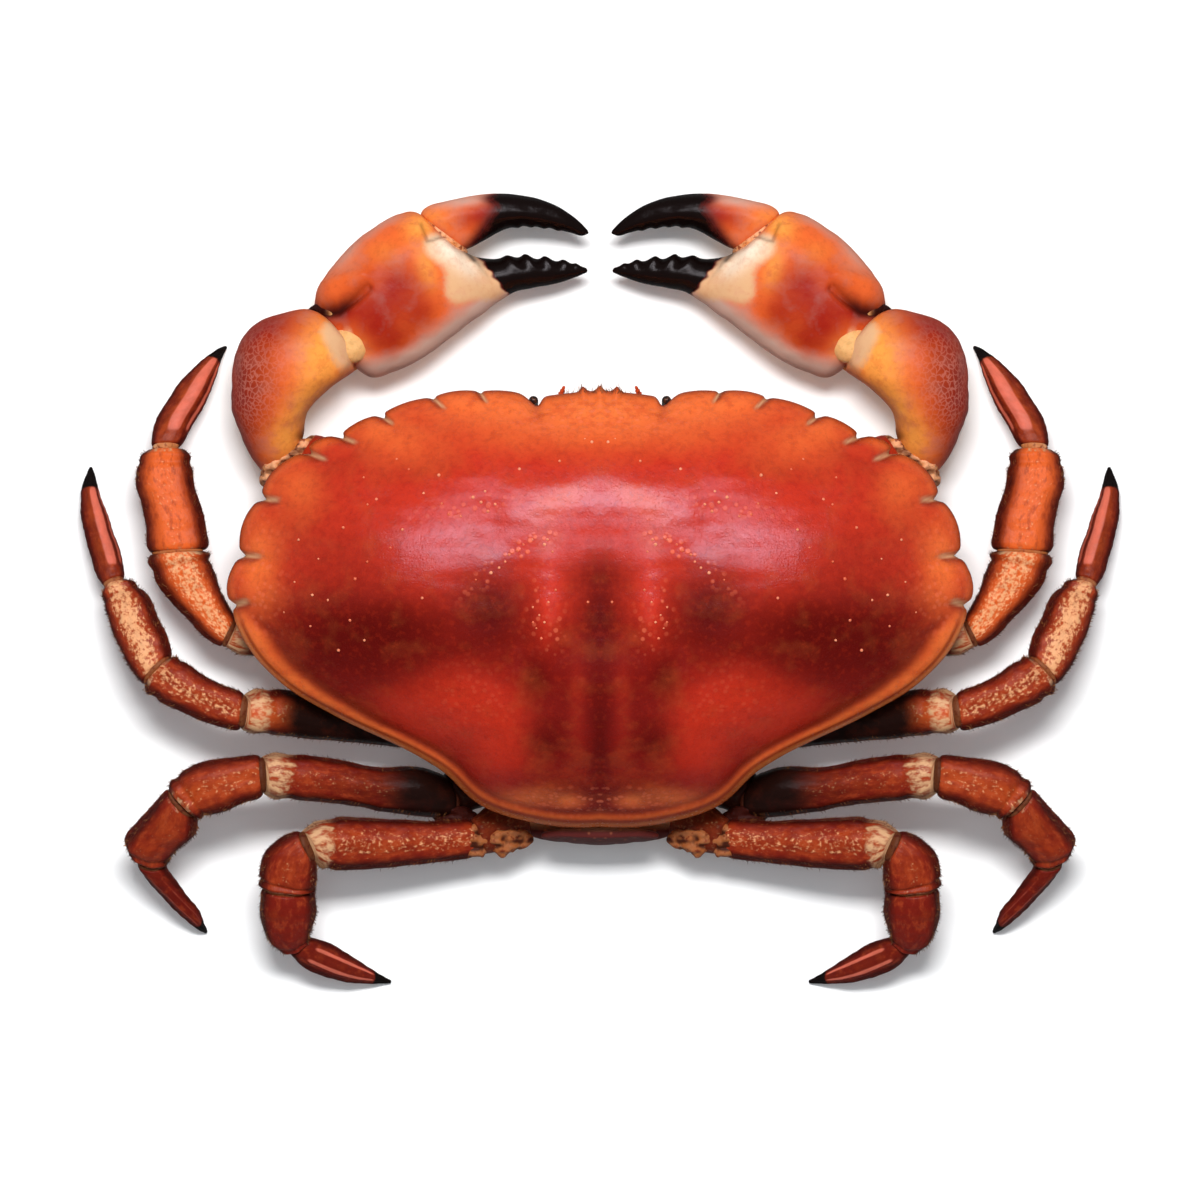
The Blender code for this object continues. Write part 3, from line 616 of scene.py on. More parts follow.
# The height of the edge, how far in the flat underside reaches, and the width of the raised rim.
EDGE_HEIGHTS = ((0, 45, 85, 110, 135, 180), (32.0, 33.0, 31.0, 28.5, 26.5, 25.0))
INNER_SHARES = ((0, 45, 70, 90, 125, 150, 180), (0.66, 0.50, 0.42, 0.42, 0.54, 0.74, 0.84))
RIM_WIDTHS = ((0, 88, 94, 104, 118, 135, 180), (2.4, 2.4, 5.6, 5.0, 3.2, 2.6, 2.8))
SHELL_FLOOR = 13.0
TOP_RINGS = 78
UNDER_RINGS = 22
# The share of the under rings that lie on the flat floor.
FLOOR_SHARE = 0.35
# The share of the way out where the lobes begin, the dome's powers, and the swellings' fade at the edge.
LOBE_START = 0.86
DOME_POWERS = (2.3, 0.8)
SWELLING_FADE = 0.2
# Swellings and hollows of the back: across, along, reach across, reach along, height.
SWELLINGS = (
    (0.0, 36.0, 20.0, 13.0, 2.0), (30.0, -22.0, 17.0, 15.0, 1.9), (46.0, 3.0, 17.0, 13.0, 1.3),
    (11.5, -4.0, 4.5, 11.0, 1.5), (0.0, -6.0, 4.5, 11.0, -1.2), (18.0, -13.0, 4.5, 8.0, -1.5),
    (13.0, -34.0, 4.5, 6.0, -1.1), (25.0, 16.0, 4.0, 9.0, -0.9), (19.0, 6.0, 6.0, 5.0, -0.35),
    (32.0, 26.0, 9.0, 6.0, 0.6), (8.5, 27.0, 6.0, 7.0, 0.5), (0.0, -24.0, 8.0, 9.0, 0.8),
    (22.0, -3.0, 6.0, 8.0, -0.45), (9.0, -46.0, 8.0, 2.2, 0.6), (0.0, -42.0, 2.0, 8.0, -0.6),
    (60.0, -6.0, 12.0, 9.0, 0.7), (38.0, -1.0, 13.0, 10.0, 1.2),
)
# Soft spots of the back's painted fields, as patches() reads them.
BACK_SPOTS = {
    "deep": (
        (392, 632, 92, 44, 6, 0.97), (330, 640, 60, 44, 10, 0.75), (492, 614, 38, 50, 0, 0.97),
        (600, 618, 24, 52, 0, 0.95), (600, 575, 34, 20, 0, 0.55), (600, 735, 13, 95, 0, 0.85),
        (545, 742, 22, 20, 0, 0.90), (537, 676, 16, 22, 0, 0.90), (568, 690, 26, 60, 0, 0.35),
        (565, 790, 40, 14, 0, 0.60), (376, 672, 60, 14, 30, 0.40), (440, 655, 46, 7, -14, 0.45),
        (350, 462, 60, 10, -32, 0.14), (420, 470, 40, 14, -10, 0.20), (350, 560, 60, 44, 0, 0.26),
    ),
    "bright": (
        (466, 702, 56, 42, 14, 1.0), (500, 740, 34, 40, 0, 0.8), (420, 714, 48, 26, 26, 0.85),
        (550, 602, 12, 44, 6, 0.95), (577, 700, 9, 46, 0, 0.3),
    ),
    "orange": (
        (600, 408, 90, 34, 0, 0.95), (480, 402, 90, 24, 6, 0.75), (380, 430, 60, 24, 28, 0.5),
        (296, 488, 30, 24, 40, 0.45), (258, 566, 22, 50, 0, 0.7), (568, 801, 16, 7, 0, 0.7),
        (520, 800, 40, 12, -10, 0.55), (560, 500, 30, 12, -20, 0.25), (500, 436, 80, 22, 0, 0.14),
    ),
    "flank": ((286, 520, 50, 60, 0, 0.8), (340, 470, 60, 24, -30, 0.6)),
    "gloss": (
        (600, 500, 84, 19, 0, 1.0), (526, 514, 40, 13, -24, 0.9), (444, 543, 62, 19, -8, 0.95),
        (500, 556, 20, 16, -30, 0.7), (548, 600, 10, 34, 4, 0.6),
    ),
    "speck": (
        (500, 566, 34, 7, -38, 0.9), (532, 546, 26, 6, -30, 0.9), (540, 600, 8, 30, 12, 0.8),
        (556, 638, 7, 26, 12, 0.6), (470, 700, 44, 34, 0, 0.16), (524, 548, 44, 7, -38, 0.8),
        (600, 414, 90, 20, 0, 0.5), (470, 508, 50, 10, -10, 0.45), (600, 800, 80, 14, 0, 0.5),
        (260, 580, 24, 60, 0, 0.4),
    ),
}
# Pale pimples of the back, on the plan.
PIMPLES = (
    (320, 559), (345, 528), (369, 505), (378, 500), (425, 494), (443, 504), (482, 503), (369, 562),
    (357, 579), (314, 595), (312, 626), (424, 598), (500, 568), (477, 580), (510, 555), (524, 545),
    (545, 545), (588, 602), (540, 615), (592, 443), (486, 492), (474, 498), (450, 515), (462, 517),
    (489, 512), (496, 505), (533, 540), (518, 551), (506, 562), (492, 573), (548, 540), (553, 552),
    (534, 607), (545, 622), (537, 628), (542, 638), (549, 602), (534, 622), (556, 590), (585, 440),
    (330, 600), (300, 540), (352, 620), (404, 530), (392, 548), (340, 650), (366, 640), (296, 582),
    (286, 612), (410, 470), (440, 476), (398, 460), (365, 478), (520, 470), (560, 462),
)
# Steps that look unordered, for the sizes of pimples and the lengths of cracks.
GOLDEN_STEP = 0.618
# Where the brow's hairs stand, in mm: half width, foremost line, height; and the share of points with one.
BROW_HALF = 10.6
BROW_FRONT = 44.9
BROW_HEIGHT = 29
HAIR_SHARE = 0.30
# The pimples stand on the surface above this height, in mm.
PIMPLE_GROUND = 30
BRISTLE_RADIUS = 0.08


def lobes(direction):
    """How far the crimped edge stands out from the plain outline, in millimetres."""
    bulge = np.zeros_like(direction)
    for start, end, height in zip(NOTCHES, NOTCHES[1:], LOBE_BULGES):
        place = np.clip((direction - start) / (end - start), 0, 1)
        bulge += height * np.sin(place * math.pi) ** 0.7
    for notch in NOTCHES[1:]:
        bulge -= (0.5 if notch < 45 else 1.2) * bell(direction - notch, 0.6)
    for tooth in BROW_TEETH:
        bulge += 1.2 * bell(direction - tooth, 0.95)
    middle, depth, half_angle = EYE_HOLLOW
    return bulge - depth * bell(direction - middle, half_angle)


def edge_cracks(direction, inward):
    """The pale cracks between the lobes, the painted shade in the gaps beside them, and the puffed lobes."""
    crack, seam_and_gap_shade, puff = np.zeros((3, len(direction)))
    for k, (start, notch) in enumerate(zip(NOTCHES, NOTCHES[1:])):
        bend = direction - notch + (0.25 + 0.3 * (k % 2)) * inward / 3
        length = 3.4 + 1.2 * (k * GOLDEN_STEP % 1) + 1.2 * (notch > 58)
        reach = step_up(-inward, -length, -length * 0.6)
        crack = np.maximum(crack, bell(bend, 0.34) * reach)
        seam_and_gap_shade = np.maximum(seam_and_gap_shade, bell(bend - 0.5, 0.95) * reach)
        puff += np.sin(np.clip((direction - start) / (notch - start), 0, 1) * math.pi)
    return crack, seam_and_gap_shade, puff


def back_surface(sizes):
    """The back's mesh: its points in millimetres and its painted fields."""
    thick = sizes.edge / MM
    crown = sizes.crown / MM
    bm, column, ring = sphere_grid(sizes.fineness, TOP_RINGS + UNDER_RINGS)
    on_top = ring >= UNDER_RINGS
    signed = (column / sizes.fineness * 360 + 180) % 360 - 180
    direction = np.abs(signed)
    plain = mirrored_curve(OUTLINE_DIRECTIONS, OUTLINE_DISTANCES, direction)
    edge_height = mirrored_curve(*EDGE_HEIGHTS, direction)
    inner = mirrored_curve(*INNER_SHARES, direction)
    rim = np.interp(direction, *RIM_WIDTHS)
    top_share = 1 - np.clip((ring - UNDER_RINGS) / TOP_RINGS, 0, 1) ** 1.5
    q = np.clip(ring / UNDER_RINGS, 0, 1)
    climb = np.clip((q - FLOOR_SHARE) / (1 - FLOOR_SHARE), 0, 1)
    under_share = np.where(q < FLOOR_SHARE, inner * q / FLOOR_SHARE, inner + (1 - inner) * climb)
    share = np.where(on_top, top_share, under_share)
    inward = plain * (1 - share)
    lobed = np.clip((share - LOBE_START) / (1 - LOBE_START), 0, 1) ** 1.5
    reach = plain * share + lobes(direction) * lobed
    x = SHELL_MIDDLE[0] + reach * np.sin(np.radians(signed))
    y = SHELL_MIDDLE[1] + reach * np.cos(np.radians(signed))
    rounding = thick / 2 * (1 - np.sqrt(1 - np.clip(1 - inward / (thick / 2), 0, 1) ** 2))
    top = edge_height + (crown - edge_height) * (1 - share ** DOME_POWERS[0]) ** DOME_POWERS[1]
    fade = np.clip((1 - share) / SWELLING_FADE, 0, 1)
    for across, along, reach_x, reach_y, rise in SWELLINGS:
        for centre in {across, -across}:
            top += fade * rise * bell(x - centre, reach_x) * bell(y - along, reach_y)
    # The rear half has a raised rim with a groove inside it; the front half has puffed lobes.
    rear = step_up(direction, 89, 94)
    groove = bell(inward - rim * 1.25, rim * 0.28)
    top += rear * (1.0 * bell(inward - rim * 0.5, rim * 0.42) - 0.5 * groove)
    crack, seam_and_gap_shade, puff = edge_cracks(direction, inward)
    top += 0.55 * puff * bell(inward - 2.6, 2.2) - 0.5 * crack
    shell = np.stack([x, y, top], axis=1)
    u, v = on_plan(shell + np.array([0, SHIFT, 0]))
    wave = rough(shell, 7.0, 1) * 0.22 + rough(shell, 2.4, 2) * 0.07
    top += wave * np.clip(inward / 3, 0, 1)
    below = edge_height - thick
    under = np.where(q < FLOOR_SHARE, SHELL_FLOOR, SHELL_FLOOR + (below - SHELL_FLOOR) * np.sqrt(climb))
    z = np.where(on_top, top - rounding, under + rounding * step_up(q, 0.8, 1.0))
    margin = bell(inward, rim * 1.05, 3) * (0.5 + 0.45 * rear) * on_top
    behind = step_up(direction, 128, 150)
    edge_line = bell(inward - 0.5, 0.45) * rear * (1 - 0.7 * behind)
    inner_line = bell(inward - 1.5, 0.42) * rear
    dusk = bell(inward, 0.8) * 0.5 * (1 - rear) + behind * 0.75 * margin
    spots = {name: patches(u, v, table) for name, table in BACK_SPOTS.items()}
    fields = {
        "deep": spots["deep"] * on_top * (1 - margin) * (1 - spots["bright"] * 0.7),
        "bright": patches(u, v, BACK_SPOTS["bright"], 3.0) * on_top,
        "orange": np.where(on_top, np.maximum(spots["orange"], margin), 0.9),
        "low": step_up(v, 560, 680) * on_top,
        "flank": 0.5 * spots["flank"] * on_top,
        "gloss": spots["gloss"] * on_top,
        "speck": spots["speck"] * on_top,
        # Painted shade in the lobes' gaps and the rim's groove, and a dark line inside the rim's edge.
        "seam_and_gap_shade": np.clip(seam_and_gap_shade * 0.7 + rear * 0.45 * groove + 0.75 * inner_line, 0, 1) * on_top,
        "gleam": edge_line * 0.85 * on_top,
        "cream": crack * 0.8 * on_top + ~on_top * 0.45,
        "dusk": np.clip(dusk, 0, 1) * on_top,
    }
    return bm, np.stack([x, y + SHIFT, z], axis=1), fields


def plant_bristles(name, roots, directions, lengths, side, material):
    """One mesh of many thin cones, each standing at its root."""
    cone = bmesh.new()
    bmesh.ops.create_cone(cone, cap_ends=True, segments=4, radius1=1.0, radius2=0.12, depth=1.0)
    bmesh.ops.translate(cone, verts=cone.verts, vec=(0, 0, 0.5))
    bm = bmesh.new()
    shape = add_copies(bm, cone, len(roots))
    side_way = unit(np.cross(directions, (0.31, 0.22, 0.92)))
    axes = np.stack([side_way, np.cross(directions, side_way), directions], axis=1)
    radii = np.full(len(lengths), BRISTLE_RADIUS)
    local = shape[None, :, :] * np.stack([radii, radii, lengths], axis=1)[:, None, :]
    points = np.einsum("nvk,nkc->nvc", local, axes) + roots[:, None, :]
    make_piece(name, bm, mirror(points.reshape(-1, 3), side), material, None)


class CRAB_OT_back(bpy.types.Operator):
    """Builds the back shell, with its crimped edge, rim, swellings and pimples"""

    bl_idname = "crab.back"
    bl_label = "Back shell"

    def execute(self, context):
        scene = context.scene
        bm, points, fields = back_surface(scene.crab_sizes)
        material = back_material(scene.crab_colours)
        make_piece("back_shell", bm, points, material, "carapace", fields)
        self.add_pimples(points[points[:, 2] > PIMPLE_GROUND])
        self.add_brow_hairs(points)
        return {"FINISHED"}

    def add_brow_hairs(self, points):
        """Short tan hairs along the brow, between the eyes."""
        aside, forward, height = np.abs(points[:, 0]), points[:, 1], points[:, 2]
        edge = np.flatnonzero((aside < BROW_HALF) & (forward > BROW_FRONT) & (height > BROW_HEIGHT))
        generator = np.random.default_rng(17)
        roots = points[edge[generator.random(len(edge)) < HAIR_SHARE]]
        ahead = generator.normal((0, 1.0, 0.1), (0.35, 0.1, 0.25), (len(roots), 3))
        lengths = generator.uniform(0.6, 1.5, len(roots))
        plant_bristles("brow_hairs", roots, unit(ahead), lengths, 1, bristle_material())

    def add_pimples(self, surface):
        """Small pale domes that stand on the back."""
        joined = bmesh.new()
        ball = add_copies(joined, sphere_grid(10, 5)[0], len(PIMPLES) * len(SIDES))
        points = []
        for k, (across, down) in enumerate(PIMPLES):
            size = 0.24 + 0.20 * (k * GOLDEN_STEP % 1)
            for _, side in SIDES:
                place = np.array([side * (PLAN_MIDDLE - across), PLAN_LEVEL - down]) * PLAN_UNIT
                place[1] += SHIFT
                nearest = surface[np.argmin(np.hypot(*(surface[:, :2] - place).T))]
                points.append(ball * (size, size, size * 0.75) + (place[0], place[1], nearest[2]))
        make_piece("back_pimples", joined, np.concatenate(points), pimple_material(), None)


# The claws, from lines on the plan: across, down of both ends, height of the middle, half depth.
CARPUS_LINES = (
    (266, 481, 300, 453, 14.5, 5.5), (254, 462, 302, 432, 15.0, 9.5), (242, 442, 306, 413, 15.5, 12.0),
    (233, 418, 317, 398, 16.0, 13.8), (230, 391, 331, 385, 16.4, 15.0), (231, 365, 344, 376, 16.6, 15.3),
    (239, 342, 351, 371, 16.5, 14.8), (257, 322, 353, 369, 16.2, 13.8), (282, 311, 353, 368, 15.8, 12.2),
    (305, 304, 353, 368, 15.0, 10.5),
)
PALM_LINES = (
    (308, 301, 355, 370, 12.8, 9.5), (318, 282, 367, 376, 12.7, 11.2), (343, 251, 391, 371, 12.5, 12.5),
    (371, 227, 422, 357, 12.4, 12.7), (397, 212, 448, 338, 12.3, 12.4), (416, 211, 468, 321, 12.0, 11.4),
    (431, 226, 482, 311, 11.6, 10.2), (449, 242, 492, 303, 11.3, 8.6), (469, 253, 502, 297, 11.0, 7.2),
    (490, 257, 514, 290, 11.0, 6.0), (515, 256, 531, 286, 10.6, 4.9), (544, 258, 555, 281, 10.1, 3.6),
    (570, 262, 574, 275, 9.7, 2.2), (587, 266, 588, 270, 9.6, 0.9),
)
FINGER_LINES = (
    (414, 210, 462, 252, 14.1, 5.8), (424, 205, 470, 247, 14.0, 6.2), (446, 199, 486, 237, 13.8, 6.4),
    (467, 195, 503, 228, 13.4, 6.0), (492, 192, 521, 224, 12.8, 5.2), (517, 193, 539, 225, 12.2, 4.2),
    (541, 198, 557, 227, 11.6, 3.3), (562, 207, 572, 231, 11.0, 2.4), (579, 219, 583, 234, 10.6, 1.5),
    (588, 228, 589, 232, 10.4, 0.8),
)
# The arm under the back, as stations: x, y, z, half width, half depth.
ARM_STATIONS = {
    "base": ((36.4, 9.7, 8.4, 6.6, 4.1), (39.5, 11.2, 8.4, 7.5, 4.2), (42.8, 12.8, 9.0, 6.6, 4.0)),
    "merus": ((42.6, 12.9, 12.2, 5.6, 4.6), (50.0, 17.5, 13.5, 8.5, 7.5), (62.0, 25.0, 15.0, 9.0, 9.0),
              (70.6, 30.6, 16.0, 7.6, 8.2)),
}
# Molars of the fixed finger: share of the palm's length, height, reach.
MOLARS = (
    (0.742, 1.1, 0.020), (0.803, 1.5, 0.020), (0.868, 1.4, 0.019), (0.925, 1.1, 0.017),
    (0.965, 0.7, 0.012),
)
# Soft spots of the claws' painted fields, as patches() reads them.
ARM_SPOTS = {"dark": ((300, 450, 90, 60, 0, 0.95),), "cream": ((296, 462, 10, 6, 0, 0.6),)}
CARPUS_SPOTS = {
    "dark": ((234, 392, 40, 64, 0, 1.0), (262, 328, 50, 26, -30, 1.0), (236, 452, 20, 36, -20, 0.95),
             (330, 412, 8, 20, 40, 0.5)),
    "gold": ((326, 352, 26, 38, 0, 1.0), (306, 408, 19, 44, 24, 1.0), (288, 440, 19, 22, 0, 1.0)),
    "cream": ((341, 346, 15, 27, -14, 0.85), (331, 332, 14, 12, 0, 0.6)),
    "net": ((246, 382, 32, 56, 8, 1.0),),
}
PALM_SPOTS = {
    "dark": ((395, 290, 32, 33, 0, 1.0), (376, 322, 26, 32, -30, 1.0), (346, 312, 34, 12, -10, 1.0),
             (420, 312, 16, 20, 30, 0.75), (392, 340, 18, 14, -20, 0.8), (440, 240, 5, 14, 62, 0.6)),
    "gold": ((420, 226, 16, 16, 0, 0.9), (426, 268, 10, 22, -14, 0.8), (360, 350, 10, 14, 0, 0.6),
             (384, 252, 16, 14, 0, 0.3)),
    "cream": ((441, 248, 20, 15, 30, 1.0), (466, 268, 24, 20, 30, 1.0), (484, 284, 26, 16, 10, 1.0),
              (460, 288, 16, 18, 40, 0.9), (349, 340, 7, 15, -10, 0.7)),
    "pink_and_sheen": ((342, 252, 28, 9, -50, 0.5), (378, 222, 28, 8, -35, 0.5)),
    "pale": ((450, 250, 21, 12, 30, 0.9), (468, 266, 15, 10, 30, 0.6)),
}
FINGER_SPOTS = {
    "dark": ((482, 213, 30, 13, -20, 0.95),),
    "gold": ((430, 220, 18, 18, 0, 0.4),),
    # The finger's pink spot is a painted sheen along its upper edge.
    "pink_and_sheen": ((466, 198, 34, 7, -8, 0.7),),
}
# Lines on the plan along which the claws are folded, raised, coloured or darkened with painted shade.
CARPUS_RIDGE = ((322, 398), (346, 362))
CARPUS_DIP = ((308, 420), (333, 380))
CARPUS_RIM = ((300, 436), (340, 388))
PALM_BROW = ((306, 290), (362, 276))
PALM_LIP = ((440, 240), (476, 264))
PALM_EDGE = ((362, 372), (396, 366), (420, 353), (446, 333), (479, 308), (503, 294))
PALM_CREASE = ((298, 303), (318, 310), (338, 308), (354, 298), (368, 287))
HINGE_CREASE = ((420, 222), (427, 240), (441, 236))
FINGER_CREASE = ((455, 238), (474, 260))
GROUND_GAP = 0.1


def claw_fields(limb, spots, black=0.0, crease_shade=0.0):
    """The painted fields of a claw piece, from its soft spots; its underside is cream."""
    u, v = on_plan(limb.points)
    top = step_up(limb.up, -0.5, 0.1)
    below = 1 - top
    black = np.zeros_like(u) + black
    fields = {name: patches(u, v, spots.get(name, ())) for name in ("dark", "gold", "pink_and_sheen", "pale", "net")}
    fields["dark"] *= top
    fields["net"] *= top
    fields["gold"] = np.maximum(fields["gold"], below * 0.4)
    fields["cream"] = np.maximum(patches(u, v, spots.get("cream", ()), 3.0), below * 0.75 * (1 - black))
    # Painted shade in the creases, on the top side only.
    return {**fields, "black": black, "crease_shade": (np.zeros_like(u) + crease_shade) * top}


def build_arm(part, material):
    """One piece of the arm under the back."""
    limb = Limb(station_lines(ARM_STATIONS[part]), 56, 40)
    limb.push(rough(limb.points, 4.0, 8) * 0.3)
    fields = claw_fields(limb, ARM_SPOTS)
    make_pair("claw_{}_arm_" + part, limb, material, "claw_{}_" + part, fields)


def build_carpus(material):
    """The wrist piece, with a swollen back, a ridge and a dip."""
    limb = Limb(plan_lines(CARPUS_LINES), 128, 84, 2.15, 8.0)
    limb.push(rough(limb.points, 6.0, 3) * 0.35 + rough(limb.points, 1.8, 4) * 0.08)
    u, v = on_plan(limb.points)
    relief = 0.7 * along_path(u, v, CARPUS_RIDGE, 5) - 0.5 * along_path(u, v, CARPUS_DIP, 7)
    limb.push(relief * np.clip(limb.up, 0, 1))
    # Painted shade along a line beside the wrist piece's dip.
    fields = claw_fields(limb, CARPUS_SPOTS, crease_shade=0.7 * along_path(u, v, CARPUS_RIM, 5))
    make_pair("claw_{}_wrist", limb, material, "claw_{}_carpus", fields)


def build_palm(material):
    """The palm and the fixed finger, with its molars and the fold by the wrist."""
    limb = Limb(plan_lines(PALM_LINES), 132, 190, 2.2, 12.0)
    limb.push(rough(limb.points, 8.0, 5) * 0.3 + rough(limb.points, 1.6, 6) * 0.06)
    facing = bell(limb.angle - 2.55, 0.62)
    for place, height, reach in MOLARS:
        limb.push(height * bell(limb.share - place, reach) * facing)
    u, v = on_plan(limb.points)
    width = np.interp(u, (300, 340, 368), (9.0, 8.0, 3.0))
    relief = -2.6 * along_path(u, v, PALM_CREASE, width) + 1.6 * along_path(u, v, PALM_BROW, 9)
    relief += 0.6 * along_path(u, v, PALM_LIP, 4.0) - 0.6 * along_path(u, v, HINGE_CREASE, 3.0)
    limb.push(relief * np.clip(limb.up + 0.2, 0, 1))
    limb.points[:, 2] = np.maximum(limb.points[:, 2], GROUND_GAP)
    edge = (u - 481) - 0.771 * (v - 260)
    black = step_up(edge + rough(limb.points, 1.2, 9) * 3, -4, 7)
    # Painted shade in the fold by the wrist, at the hinge and at the finger's root.
    crease_shade = np.maximum.reduce([
        along_path(u, v, PALM_CREASE, width * 0.95) * step_up(-u, -372, -340),
        along_path(u, v, HINGE_CREASE, 1.8) * 0.5,
        along_path(u, v, FINGER_CREASE, 2.4) * 0.7,
    ])
    fields = claw_fields(limb, PALM_SPOTS, black, crease_shade)
    edge_band = 1.1 * along_path(u, v, PALM_EDGE, 11.5) * (limb.up > -0.9)
    fields["pink_and_sheen"] = np.maximum(fields["pink_and_sheen"], edge_band)
    make_pair("claw_{}_hand", limb, material, "claw_{}_palm", fields)


def build_finger(material):
    """The movable finger: orange at its root, then black, with soft ridges along it."""
    limb = Limb(plan_lines(FINGER_LINES), 96, 110, 2.2, 9.0)
    ridges = 0.16 * np.cos(limb.angle * 6) * step_up(limb.share, 0.1, 0.4) * (1 - limb.share)
    limb.push(ridges + rough(limb.points, 3.0, 7) * 0.12)
    for place in (0.42, 0.52, 0.62, 0.72):
        limb.push(0.45 * bell(limb.share - place, 0.03) * bell(limb.angle, 0.5))
    u, v = on_plan(limb.points)
    black = step_up((u - 511) + 0.64 * (v - 193) + 14 * bell(v - 196, 7), -30, 20)
    fields = claw_fields(limb, FINGER_SPOTS, black)
    make_pair("claw_{}_thumb", limb, material, "claw_{}_finger", fields)


class CRAB_OT_claws(bpy.types.Operator):
    """Builds both claw arms, from the body out to the two fingers"""

    bl_idname = "crab.claws"
    bl_label = "Claws"

    def execute(self, context):
        material = claw_material(context.scene.crab_colours)
        build_arm("base", material)
        build_arm("merus", material)
        build_carpus(material)
        build_palm(material)
        build_finger(material)
        return {"FINISHED"}


# The walking legs, from lines on the plan, with the heights of the joints and half depths in mm.
LEG_PIECES = ("merus", "carpus", "propodus", "dactyl")
DACTYL = 3
WALKING_LEGS = (
    {
        "merus": ((406, 650, 402, 606), (350, 660, 350, 610), (290, 662, 290, 612), (250, 658, 252, 613),
                  (220, 649, 236, 617)),
        "carpus": ((220, 649, 236, 617), (200, 632, 226, 603), (180, 611, 219, 586), (162, 591, 213, 570),
                   (144, 554, 208, 550)),
        "propodus": ((144, 554, 208, 550), (142, 520, 202, 521), (138, 503, 197, 503), (133, 484, 191, 484),
                     (134, 466, 189, 466), (143, 449, 185, 448)),
        "dactyl": ((147, 446, 180, 446), (152, 425, 189, 424), (164, 402, 202, 402), (182, 376, 212, 378),
                   (201, 357, 216, 363), (213, 348, 221, 352), (222, 343, 224, 345)),
        "heights": (12.5, 18.5, 17.0, 12.5, 0.6),
        "half_depths": (4.6, 4.8, 4.4, 2.9),
        "root": (36.5, -7.0, 8.4),
    },
    {
        "merus": ((428, 752, 422, 708), (370, 745, 365, 701), (310, 739, 310, 694), (270, 736, 272, 690),
                  (240, 732, 245, 692)),
        "carpus": ((240, 732, 245, 692), (212, 723, 222, 684), (185, 713, 203, 674), (162, 702, 186, 663),
                   (141, 687, 172, 655)),
        "propodus": ((141, 687, 172, 655), (126, 664, 163, 633), (113, 640, 154, 614), (104, 615, 144, 594),
                     (99, 589, 124, 578)),
        "dactyl": ((99, 587, 123, 578), (92, 568, 119, 560), (84, 541, 111, 537), (78, 516, 103, 513),
                   (77, 493, 95, 491), (85, 465, 88, 466)),
        "heights": (12.0, 25.5, 23.0, 12.5, 0.6),
        "half_depths": (4.2, 4.4, 3.8, 2.7),
        "root": (31.8, -27.0, 8.6),
    },
    {
        "merus": ((454, 820, 448, 776), (425, 817, 415, 767), (380, 811, 380, 768), (340, 804, 340, 761),
                  (300, 800, 305, 755), (264, 797, 261, 753)),
        "carpus": ((264, 797, 261, 753), (242, 803, 234, 757), (226, 810, 205, 761), (210, 814, 184, 770),
                   (196, 819, 166, 788)),
        "propodus": ((196, 819, 166, 788), (195, 834, 150, 809), (183, 845, 135, 826), (173, 855, 123, 842),
                     (164, 867, 133, 862)),
        "dactyl": ((164, 867, 133, 864), (173, 882, 149, 885), (184, 897, 166, 905), (194, 911, 182, 921),
                   (200, 924, 194, 932), (204, 933, 202, 937)),
        "heights": (13.0, 29.0, 26.5, 15.5, 0.6),
        "half_depths": (4.6, 4.9, 3.8, 3.0),
        "root": (25.5, -41.5, 9.0),
    },
    {
        "merus": ((478, 858, 470, 818), (440, 862, 436, 822), (400, 866, 400, 820), (360, 869, 360, 818),
                  (328, 869, 332, 818), (316, 864, 299, 829)),
        "carpus": ((316, 864, 299, 829), (317, 871, 280, 838), (317, 878, 266, 852), (315, 885, 260, 870),
                   (314, 891, 260, 889)),
        "propodus": ((314, 891, 260, 889), (315, 910, 259, 911), (312, 926, 262, 931), (308, 936, 271, 946),
                     (304, 940, 285, 956)),
        "dactyl": ((306, 938, 287, 957), (320, 943, 303, 969), (338, 952, 325, 979), (354, 962, 346, 985),
                   (369, 973, 368, 987), (390, 984, 389, 987)),
        "heights": (15.0, 26.5, 22.5, 13.0, 0.6),
        "half_depths": (4.3, 4.8, 4.2, 2.6),
        "root": (17.6, -52.4, 10.5),
    },
)
# How warm (orange) and how speckled each leg's pieces are, from the merus to the dactyl.
LEG_WARMTH = (
    (0.5, 0.9, 0.98, 0.35), (0.5, 0.22, 0.34, 0.3), (0.12, 0.32, 0.16, 0.0), (0.18, 0.18, 0.0, 0.05),
)
LEG_SPECKLE = (
    (0.2, 0.64, 0.34, 0.0), (0.4, 0.52, 0.70, 0.0), (0.36, 0.40, 0.30, 0.0), (0.46, 0.30, 0.24, 0.0),
)
# Dark colour and painted shade under the back: where they start and are full on legs 1-3, across the plan,
# and their strength on each base.
MERUS_DARK_AND_SHADE = ((236, 262), (262, 300), (368, 412))
BASE_DARK_AND_SHADE = (0.95, 0.95, 0.95, 0.45)
# Pale stripes of each leg's end piece: angle round the piece, half width, strength.
LEG_STRIPES = (
    ((1.35, 0.42, 0.95), (0.35, 0.20, 0.7)),
    ((1.20, 0.42, 0.95), (0.30, 0.20, 0.6)),
    ((1.20, 0.16, 0.45), (2.00, 0.14, 0.4)),
    ((1.15, 0.17, 0.75), (2.05, 0.17, 0.75)),
)
# The share of each leg's edge points that carry a bristle.
BRISTLE_SHARES = (0.22, 0.34, 0.30, 0.30)


def leg_lines(leg, piece):
    """The lines across one leg piece, from its inner to its outer joint."""
    inner, outer = leg["heights"][piece : piece + 2]
    drawn = leg[LEG_PIECES[piece]]
    widths = [math.hypot(line[2] - line[0], line[3] - line[1]) for line in drawn]
    rows = []
    for k, line in enumerate(drawn):
        height = inner + (outer - inner) * k / (len(drawn) - 1)
        rows.append((*line, height, leg["half_depths"][piece] * widths[k] / max(widths)))
    return plan_lines(rows)


